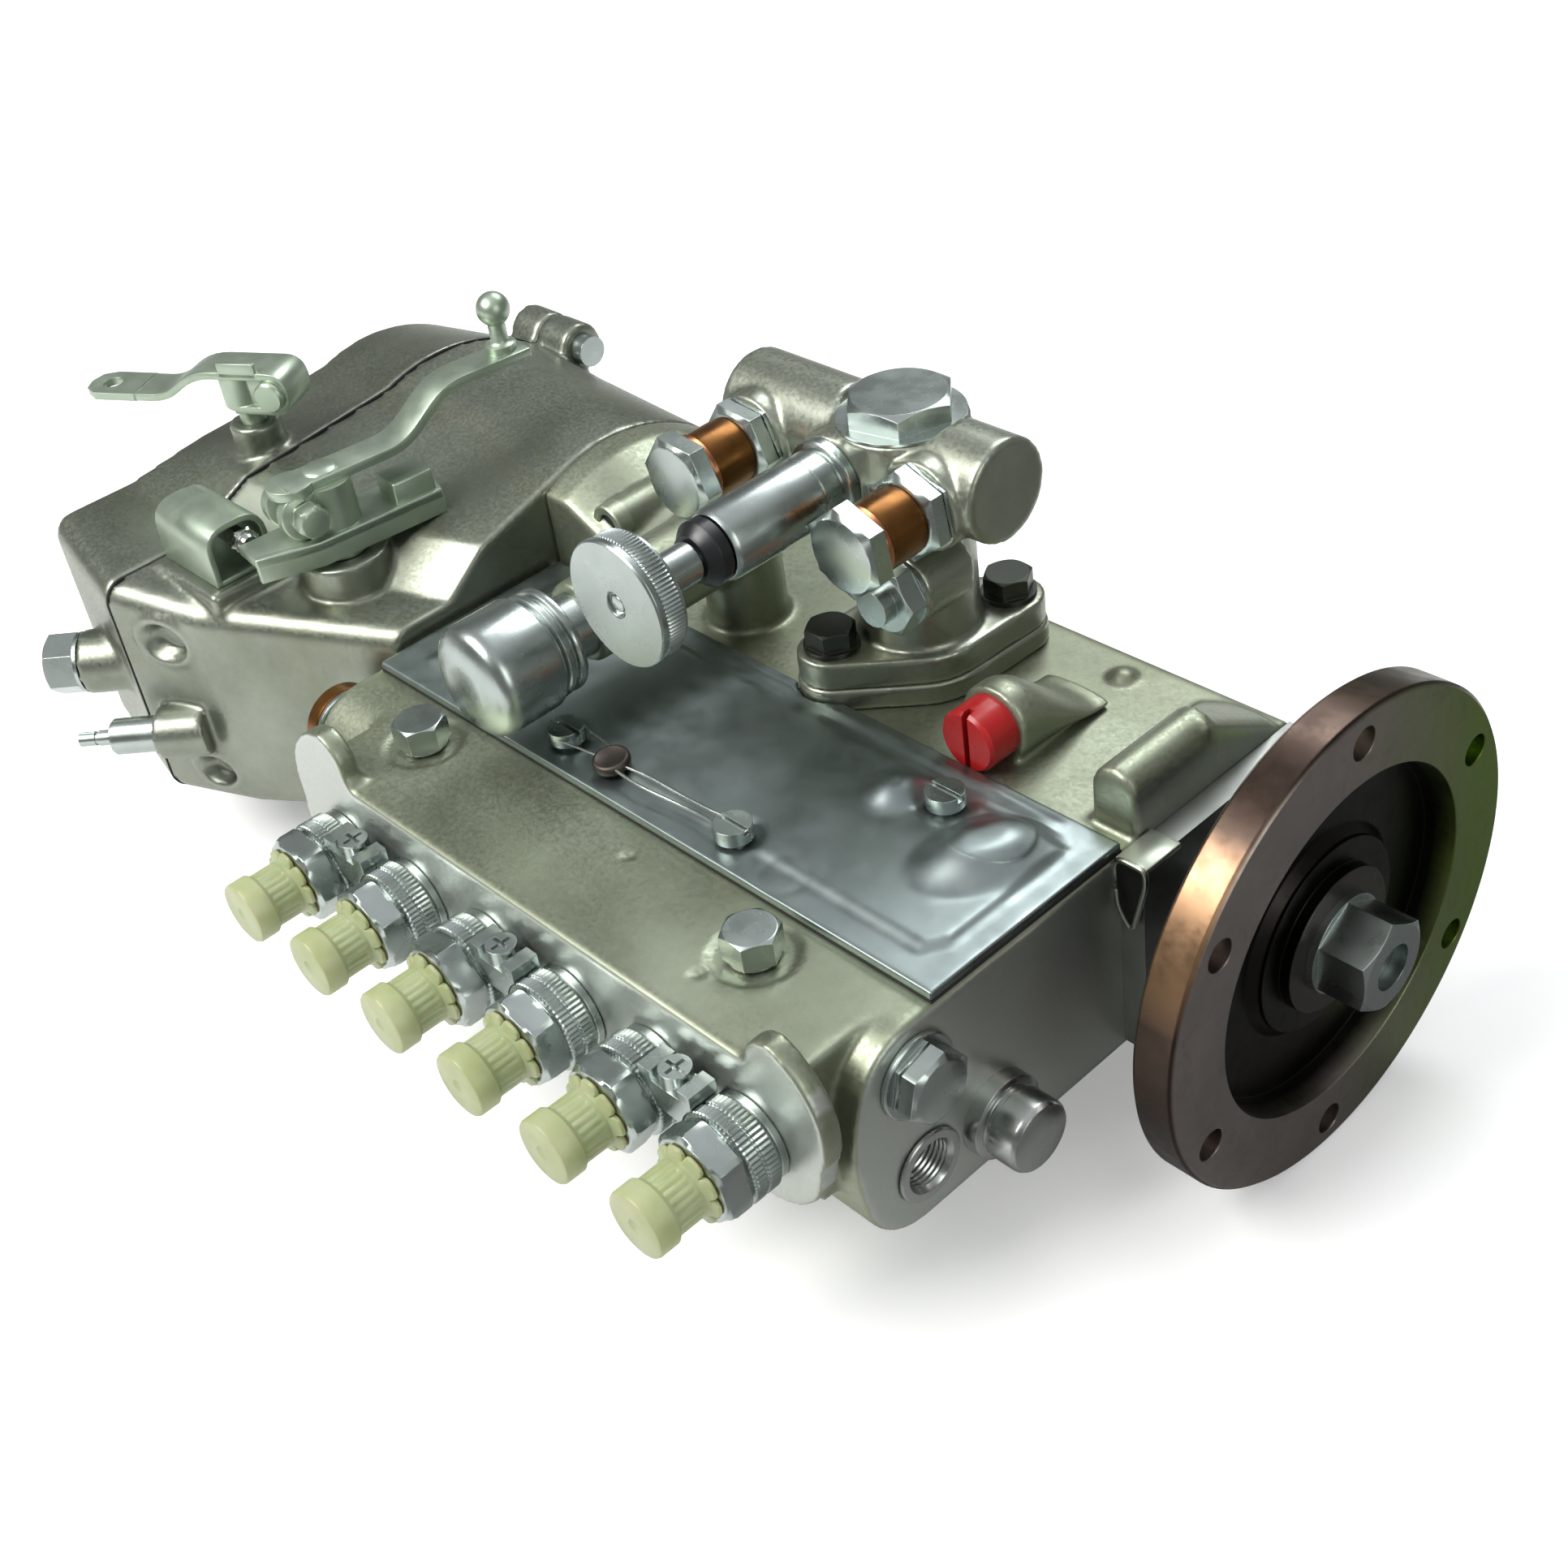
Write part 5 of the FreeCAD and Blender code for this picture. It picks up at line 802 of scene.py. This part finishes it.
def dress_ends():
    """The gallery plugs, the rear copper ring, and the rack's cap and threaded port at the drive end."""
    plug = hex_head(17.0, 1.6, 8.5, 10.0)
    washer = [(0.0, -11.0), (6.9, -11.0), (6.9, 0.0), (10.6, 0.0), (11.0, 0.3), (11.0, 1.3), (10.6, 1.6), (0.0, 1.6)]
    forms = []
    for place, axis in ((GALLERY_PLUG, "X"), (REAR_PLUG, "-X")):
        forms += [disc(*place, axis, washer, 72), disc(*place, axis, plug, 96, hexagon_limit(17.0, 0.25))]
    add_piece("gallery_plugs_turned", gathered(forms), ZINC, "gallery_plugs", angle=28)
    ring = [(8.0, 1.5), (10.7, 1.5), (11.2, 1.9), (11.2, 6.0), (10.8, 6.5), (8.0, 6.5), (8.0, 1.5)]
    turned("rear_copper_ring", REAR_PLUG, "-X", ring, COPPER)

    cap = [(0.0, 11.0), (6.0, 11.0), (6.0, 0.0), (11.2, 0.0), (11.2, 4.0), (10.6, 4.4), (9.2, 4.8), (9.2, 6.0),
           (9.6, 6.4), (9.6, 12.6), (9.4, 13.4), (8.9, 14.2), (8.2, 14.5), (0.0, 14.5)]
    turned("rack_cap_turned", RACK_CAP, "X", cap, STEEL, "rack_end_cap")
    port = [(6.4, -20.0), (7.98, -20.0), (7.98, 0.0), (9.3, 0.0), (9.8, 0.3), (9.8, 0.9), (9.4, 1.2), (7.4, 1.2),
            (6.9, 0.6)]
    low = 0.0
    while low > -14.0:
        port += [(6.42, low - 0.2), (6.9, low - 0.7), (6.42, low - 1.2)]
        low -= 1.3
    port += [(6.4, -20.0)]
    turned("fuel_port_threaded", FUEL_PORT, "X", port, STEEL, "fuel_port_sleeve", angle=28)


def dress_fittings():
    """Turned and hexagon pieces of the breather, the feed pump and the housing's ends."""
    cap = [(0.0, 12.0), (7.0, 12.0), (7.0, 26.0), (9.0, 26.0), (9.0, 34.0), (13.4, 34.0), (14.4, 34.3), (14.6, 34.8),
           (14.6, 36.0), (14.3, 36.5), (13.4, 36.9), (13.4, 37.7), (14.3, 38.1), (14.6, 38.5), (14.6, 39.7),
           (14.2, 40.1), (13.4, 40.5), (13.4, 41.4), (14.6, 41.7), (15.6, 42.3), (15.8, 43.0), (15.8, 56.0)]
    cap += arc(11.2, 56.8, 4.6, 0.0, 66.0, 8) + [(11.6, 61.9), (6.0, 62.8), (0.0, 63.0)]
    turned("breather_turned", BREATHER, "-Y", cap, ZINC, "breather_cap", 96)
    dress_primer()
    dress_banjos()
    dress_ends()


def oblong(x, y, far_x, far_y):
    """Corners of a rectangle."""
    return [(x, y), (far_x, y), (far_x, far_y), (x, far_y)]


def circle(radius, y, step):
    """Corners of a circle around (0, y), one every few degrees."""
    return [(math.cos(math.radians(a)) * radius, math.sin(math.radians(a)) * radius + y) for a in range(0, 360, step)]


def dress_control_lever():
    """The long lever with its ball, the plate under it with a folded edge, and the clamp between them.

    The ends of the shaft below the plate are kept from the solid.
    """
    matrix = Matrix.Translation((-0.291, -0.076, 0.0)) @ Matrix.Rotation(math.radians(-7.0), 4, "Z")
    work = bmesh.new()
    work.from_mesh(nodes["control_lever"].data)
    work.transform(matrix.inverted())
    bmesh.ops.bisect_plane(work, geom=work.verts[:] + work.edges[:] + work.faces[:], plane_co=(0, 0, 0.0455),
                           plane_no=(0, 0, 1), clear_outer=True)
    bmesh.ops.holes_fill(work, edges=[edge for edge in work.edges if edge.is_boundary])
    ball = [(0.0, 0.0), (4.4, 0.0), (4.4, 2.4), (2.9, 2.9), (2.6, 3.6), (2.6, 8.6)]
    ball += arc(0.0, 13.0, 5.0, -58.0, 90.0, 14)[:-1] + [(0.0, 18.0)]
    clamp_y, clamp_z = -9.5, 60.0
    forms = [
        (work, Matrix.Identity(4)),
        disc(0.0, 0.0, 45.0, "Z", [(0.0, 0.0), (5.0, 0.0), (5.0, 24.2), (4.4, 24.8), (0.0, 24.8)]),
        disc(0.0, 0.0, 43.3, "Z", [(0.0, 0.0), (7.6, 0.0), (8.0, 0.4), (8.0, 22.7), (0.0, 22.7)]),
        strip([(-13.0, 67.5), (25.0, 67.5), (41.2, 79.5), (70.0, 79.5)], 11.0, 3.0, 6.0),
        prism(circle(7.0, clamp_y, 15), 66.0, 69.0, 0.4),
        prism([(-8.0, -27.0), (4.0, -27.0), (9.0, -9.0), (9.0, 31.0), (-3.0, 34.0), (-8.0, 20.0), (-9.0, -9.0)],
              49.5, 52.5, 0.5),
        prism([(4.0, -27.0), (9.0, -9.0), (9.0, 31.0), (6.4, 31.6), (6.4, -8.6), (1.6, -26.8)], 44.6, 52.4, 0.6),
        prism(oblong(-4.0, 17.0, 7.5, 30.0), 52.0, 59.0, 0.6)]
    for low, high in ((-9.0, -4.6), (1.4, 5.8)):
        wide = high - low
        ear = [(0.0, 0.0), (6.8, 0.0), (7.3, 0.5), (7.3, wide - 0.5), (6.8, wide), (0.0, wide)]
        forms += [disc(low, clamp_y, clamp_z, "X", ear), prism(oblong(low, clamp_y, high, 6.0), 55.0, 66.2, 0.5)]
    forms += [
        disc(-12.5, clamp_y, clamp_z, "X", rod(3.0, 20.0), 24),
        disc(5.8, clamp_y, clamp_z, "X", hex_head(9.0, 0.0, 6.5, 4.8), 72, hexagon_limit(9.0, 0.2)),
        disc(-12.5, clamp_y, clamp_z, "X", hex_head(9.0, 0.6, 3.6), 72, hexagon_limit(9.0)),
        disc(0.0, 63.5, 81.0, "Z", ball)]
    add_piece("control_lever_made", gathered(forms, matrix), PALE_ZINC, "control_lever")


def dress_stop_lever():
    """The stop lever, its end wrapped round the shaft, with the clamp's bolt and the eye at its tip."""
    matrix = Matrix.Translation((-0.353, -0.062, 0.0)) @ Matrix.Rotation(math.radians(119.0), 4, "Z")
    tip = [(-7.0, 35.0), (7.0, 35.0), (7.0, 49.0), (5.0, 53.5), (0.5, 55.0), (-4.0, 54.0), (-7.0, 50.0)]
    bolt_y, bolt_z = -13.5, 72.0
    forms = [
        disc(0.0, 0.0, 27.0, "Z", [(0.0, 0.0), (4.0, 0.0), (4.0, 48.6), (3.4, 49.2), (0.0, 49.2)]),
        prism(oblong(-4.5, -5.0, 4.5, 16.0), 23.0, 27.2, 0.4),
        strip([(36.0, 69.5), (24.5, 69.5), (12.5, 77.7), (-18.0, 77.7), (-18.0, 66.4), (1.0, 66.4)], 14.0, 2.4, 6.5),
        plate_with_eye(tip, 3.2, 47.0, 68.3, 70.7),
        prism(oblong(-7.0, -10.0, -5.0, 3.0), 77.0, 82.0, 0.5),
        disc(0.0, 0.0, 66.0, "Z", [(0.0, 0.0), (6.6, 0.0), (7.0, 0.4), (7.0, 11.0), (0.0, 11.0)]),
        prism(oblong(-5.0, -14.0, 5.0, 0.0), 67.4, 76.0, 0.5),
        disc(-5.5, bolt_y, bolt_z, "-X", [(0.0, 0.0), (4.4, 0.0), (4.8, 0.4), (4.8, 3.2), (4.2, 4.0), (0.0, 4.0)]),
        disc(-6.0, bolt_y, bolt_z, "X", rod(2.6, 12.0), 24),
        disc(5.0, bolt_y, bolt_z, "X", [(0.0, 0.0), (3.7, 0.0), (4.0, 0.3), (4.0, 3.6), (3.2, 4.4), (0.0, 4.5)])]
    add_piece("stop_lever_made", gathered(forms, matrix), PALE_ZINC, "stop_lever")


def stop_screw_hexagons(angle, radius, height):
    """The stop screw's head of 10 mm across flats and its nut of 8 mm."""
    if radius <= 3.1:
        return radius
    return hexagon_limit(10.0 if height < 20.0 else 8.0)(angle, radius, height)


def dress_stop():
    """The hood on its foot, and the stop screw in it."""
    hood, own = strip([(-108.0, 39.6), (-108.0, 56.6), (-90.0, 56.6), (-90.0, 39.6)], 30.0, 2.0, 7.0)
    foot = prism(oblong(-338.0, -108.9, -308.0, -89.1), 39.5, 41.2, 0.4)
    add_piece("stop_hood", gathered([(hood, Matrix.Translation((-0.323, 0.0, 0.0)) @ own), foot]), PALE_ZINC,
              "stop_bracket")
    screw = [(0.0, 0.0), (2.6, 0.0), (3.0, 0.4), (3.0, 3.4)] + hex_head(10.0, 3.4, 7.2)[1:-1] + [(3.0, 7.2)]
    screw += [(3.0, 38.0)] + hex_head(8.0, 38.0, 40.0)[1:-1] + [(3.0, 40.0)]
    screw += [(2.6, 40.4), (3.0, 40.9), (2.6, 41.4), (2.4, 42.0), (0.0, 42.0)]
    turned("stop_screw_turned", STOP_SCREW, "X", screw, STEEL, sides=96, shape=stop_screw_hexagons, angle=28)


def dress_pointer():
    """The timing pointer's sheet, with its bright edge."""
    stand = Matrix(((1, 0, 0, 0), (0, 0, -1, 0), (0, 1, 0, 0), (0, 0, 0, 1)))
    edge = rounded_path([(-43.1, 15.0), (-43.1, 24.4), (-34.2, 24.4), (-34.2, 20.0), (-38.5, 3.2), (-42.4, 9.5),
                         (-43.1, 15.0)], 3.0)
    sheet = prism(edge[:-1], 29.0, 30.6, 0.3, stand)
    tab = prism(oblong(-43.1, -30.4, -34.2, -17.0), 22.9, 24.5, 0.4)
    add_piece("timing_pointer_sheet", gathered([sheet, tab]), SHEET, "timing_pointer")
    bead = [(x, -30.3, z) for x, z in edge]
    add_piece("timing_pointer_edge", gathered([tube(bead, 0.75)]), BRIGHT_EDGE, angle=0)


def dress_small():
    """Stop screw and hood, timing pointer, painted plug face and the port behind the feed pump."""
    dress_stop()
    dress_pointer()
    face = lathe([(0.0, 10.9), (8.2, 10.9), (8.2, 11.12), (0.0, 11.12)], 96, hexagon_limit(16.4))
    outward = Vector((-1, -1, 0)).to_track_quat("Z", "Y").to_matrix().to_4x4()
    place = Matrix.Translation((-0.366, -0.1335, 0.004)) @ outward
    add_piece("plug_paint", gathered([(face, place)]), RED_FACE, angle=28)
    port = (RETURN_PORT[0], 0.0, RETURN_PORT[1])
    rim = [(3.6, 18.0), (3.6, 22.6), (4.1, 23.0), (5.9, 23.0), (6.4, 22.5), (6.4, 18.0), (3.6, 18.0)]
    turned("return_port_rim", port, "-Y", rim, ALLOY)
    # Painted shade: a black disc just inside the rim stands for the depth of the port's hole.
    dark = [(0.0, 18.0), (3.62, 18.0), (3.62, 21.6), (0.0, 21.6)]
    turned("return_port_painted_shade", port, "-Y", dark, GASKET, sides=48)


def face_order(face):
    """A number from a face's corners, of which the form has fewer than 100."""
    number = 0
    for index in sorted(vertex.index for vertex in face.verts):
        number = number * 100 + index + 1
    return number


def plate_with_eye(outer, radius, eye_y, low, high):
    """A plate between two heights, with a round eye."""
    form = bmesh.new()
    edges = []
    for ring in (outer, circle(radius, eye_y, 20)):
        corners = [form.verts.new((x * MM, y * MM, low * MM)) for x, y in ring]
        edges += [form.edges.new(pair) for pair in zip(corners, corners[1:] + corners[:1])]
    bmesh.ops.triangle_fill(form, use_beauty=True, edges=edges)
    for face in form.faces[:]:
        centre = face.calc_center_median() / MM
        if math.hypot(centre.x, centre.y - eye_y) < radius - 0.3:
            form.faces.remove(face)
    made = bmesh.ops.extrude_face_region(form, geom=form.faces[:])
    for item in made["geom"]:
        if isinstance(item, bmesh.types.BMVert):
            item.co.z = high * MM
    # The extrusion's side faces come in an order that changes from run to run
    form.verts.index_update()
    form.faces.sort(key=face_order)
    bmesh.ops.recalc_face_normals(form, faces=form.faces)
    return form, Matrix.Identity(4)


def tube(points, radius):
    """A round wire along points in millimetres."""
    sides = 8
    form = bmesh.new()
    places = [Vector(point) * MM for point in points]
    rings = []
    for step, place in enumerate(places):
        ahead = (places[min(step + 1, len(places) - 1)] - places[max(step - 1, 0)]).normalized()
        side = ahead.cross(Vector((0.3, 0.2, 1.0))).normalized()
        other = ahead.cross(side)
        rings.append([form.verts.new(place + (side * math.cos(a) + other * math.sin(a)) * radius * MM)
                      for a in (2 * math.pi * k / sides for k in range(sides))])
    for lower, upper in zip(rings, rings[1:]):
        for step in range(sides):
            after = (step + 1) % sides
            form.faces.new((lower[step], lower[after], upper[after], upper[step]))
    form.faces.new(list(reversed(rings[0])))
    form.faces.new(rings[-1])
    return form, Matrix.Identity(4)


def smooth_line(points):
    """Points along a soft curve through the given ones."""
    count = 8
    made = []
    padded = [points[0]] + list(points) + [points[-1]]
    for a, b, c, d in zip(padded, padded[1:], padded[2:], padded[3:]):
        for step in range(count):
            s = step / count
            made.append(tuple(0.5 * (2 * q + (r - p) * s + (2 * p - 5 * q + 4 * r - u) * s * s
                                     + (3 * q - p - 3 * r + u) * s ** 3) for p, q, r, u in zip(a, b, c, d)))
    return made + [tuple(points[-1])]


def dress_lock_wire():
    """Sealing wire between the cover screws, with its lead seal."""
    top = 29.3
    first_loop = [
        (-166.0, -84.6, top), (-150.0, -86.0, top + 0.4), (-134.0, -84.4, top), (-122.5, -84.2, top + 0.4),
        (-117.4, -86.6, top + 0.8), (-113.2, -83.0, top + 0.8), (-116.0, -78.6, top + 0.8),
        (-122.0, -80.8, top + 0.3), (-136.0, -81.6, top), (-150.0, -82.0, top + 0.2), (-160.0, -83.2, top)]
    second_loop = [
        (-160.0, -82.2, top), (-168.0, -79.6, top + 0.2), (-176.0, -79.0, top + 0.4), (-182.4, -78.4, top + 0.8),
        (-186.4, -82.0, top + 0.8), (-183.0, -86.8, top + 0.8), (-176.0, -85.6, top + 0.3), (-166.0, -84.0, top)]
    wires = [tube(smooth_line(loop), 0.42) for loop in (first_loop, second_loop)]
    add_piece("lock_wire", gathered(wires), STEEL, angle=0)
    seal = [(0.0, 0.0), (4.0, 0.0), (4.9, 0.5), (5.1, 1.6), (4.9, 2.7), (4.2, 3.2), (3.9, 3.0), (0.0, 2.9)]
    matrix = Matrix.Translation((-0.1625, -0.0832, 0.0278)) @ Matrix.Rotation(math.radians(6), 4, "X")
    add_piece("lead_seal", gathered([(lathe(seal, 40), matrix)]), LEAD, angle=0)


dress_castings()
dress_cover()
dress_valves()
dress_fittings()
dress_control_lever()
dress_stop_lever()
dress_small()
dress_lock_wire()


# Camera, floor and light

def make_camera():
    """The photograph's camera, fitted to the valve holders, the cover, the edges and the flange."""
    data = bpy.data.cameras.new("camera")
    data.lens = 47.63
    data.sensor_width = 36.0
    data.sensor_fit = "HORIZONTAL"
    camera = bpy.data.objects.new("camera", data)
    bpy.context.scene.collection.objects.link(camera)
    forward = Vector((-0.62314, 0.49103, -0.60876))
    up = Vector((-0.37716, 0.49320, 0.78390))
    right = forward.cross(up).normalized()
    up = right.cross(forward)
    turn = Matrix((right, up, -forward)).transposed().to_4x4()
    camera.matrix_world = Matrix.Translation((0.19781, -0.313424, 0.339964)) @ turn
    data.clip_start = 0.01
    bpy.context.scene.camera = camera


def make_floor():
    """A white floor. The camera sees it brighter, and metal at the drive end reflects it darker."""
    mesh = bpy.data.meshes.new("floor")
    size = 3.0
    mesh.from_pydata([(-size, -size, FLOOR), (size, -size, FLOOR), (size, size, FLOOR), (-size, size, FLOOR)], [],
                     [(0, 1, 2, 3)])
    floor = bpy.data.objects.new("floor", mesh)
    bpy.context.scene.collection.objects.link(floor)
    g = Graph("floor_white", 0.0)
    light_path = g.add("ShaderNodeLightPath")
    shade = g.math("MULTIPLY", light_path.outputs["Is Glossy Ray"], g.level(g.axis("X"), 0.0, 0.85, -0.09, 0.03))
    g.set(Base_Color=g.mix(shade, (0.86, 0.86, 0.86), (0.03, 0.03, 0.03)), Roughness=0.9, Specular_IOR_Level=0.1)
    g.shader.inputs["Emission Color"].default_value = (1.0, 1.0, 1.0, 1.0)
    seen = g.math("MULTIPLY", light_path.outputs["Is Camera Ray"], 0.3)
    g.link(seen, g.shader.inputs["Emission Strength"])
    mesh.materials.append(g.material)


def make_area(name, place, target, size, power, color):
    """A soft rectangular lamp that points at a target."""
    data = bpy.data.lights.new(name, "AREA")
    data.shape = "RECTANGLE"
    data.size = size[0]
    data.size_y = size[1]
    data.energy = power
    data.color = color
    lamp = bpy.data.objects.new(name, data)
    bpy.context.scene.collection.objects.link(lamp)
    lamp.location = place
    way = Vector(target) - Vector(place)
    lamp.rotation_euler = way.to_track_quat("-Z", "Y").to_euler()


def make_world():
    """A grey studio around the part, bright overhead."""
    world = bpy.data.worlds.new("studio")
    bpy.context.scene.world = world
    world.use_nodes = True
    tree = world.node_tree
    back = tree.nodes["Background"]
    where = tree.nodes.new("ShaderNodeTexCoord")
    split = tree.nodes.new("ShaderNodeSeparateXYZ")
    tree.links.new(where.outputs["Generated"], split.inputs["Vector"])
    ramp = tree.nodes.new("ShaderNodeValToRGB")
    elements = ramp.color_ramp.elements
    elements[0].position = 0.0
    elements[0].color = (0.46, 0.47, 0.46, 1)
    elements[1].position = 0.92
    elements[1].color = (0.95, 0.97, 1.0, 1)
    middle = elements.new(0.3)
    middle.color = (0.20, 0.21, 0.20, 1)
    upper = elements.new(0.62)
    upper.color = (0.26, 0.275, 0.26, 1)
    tree.links.new(split.outputs["Z"], ramp.inputs["Fac"])
    tree.links.new(ramp.outputs["Color"], back.inputs["Color"])
    back.inputs["Strength"].default_value = 0.7


make_camera()
make_floor()
make_world()
make_area("key", (-0.5, -0.9, 1.1), (-0.17, -0.03, 0.0), (0.9, 0.6), 24, (1.0, 0.99, 0.97))
make_area("back", (-0.45, 0.8, 1.05), (-0.12, -0.03, 0.0), (0.7, 0.45), 8, (0.95, 0.98, 1.0))
make_area("side", (0.9, -0.2, 0.5), (-0.1, -0.03, 0.0), (0.5, 0.7), 3, (0.97, 1.0, 0.96))
bpy.context.scene.view_settings.view_transform = "Standard"
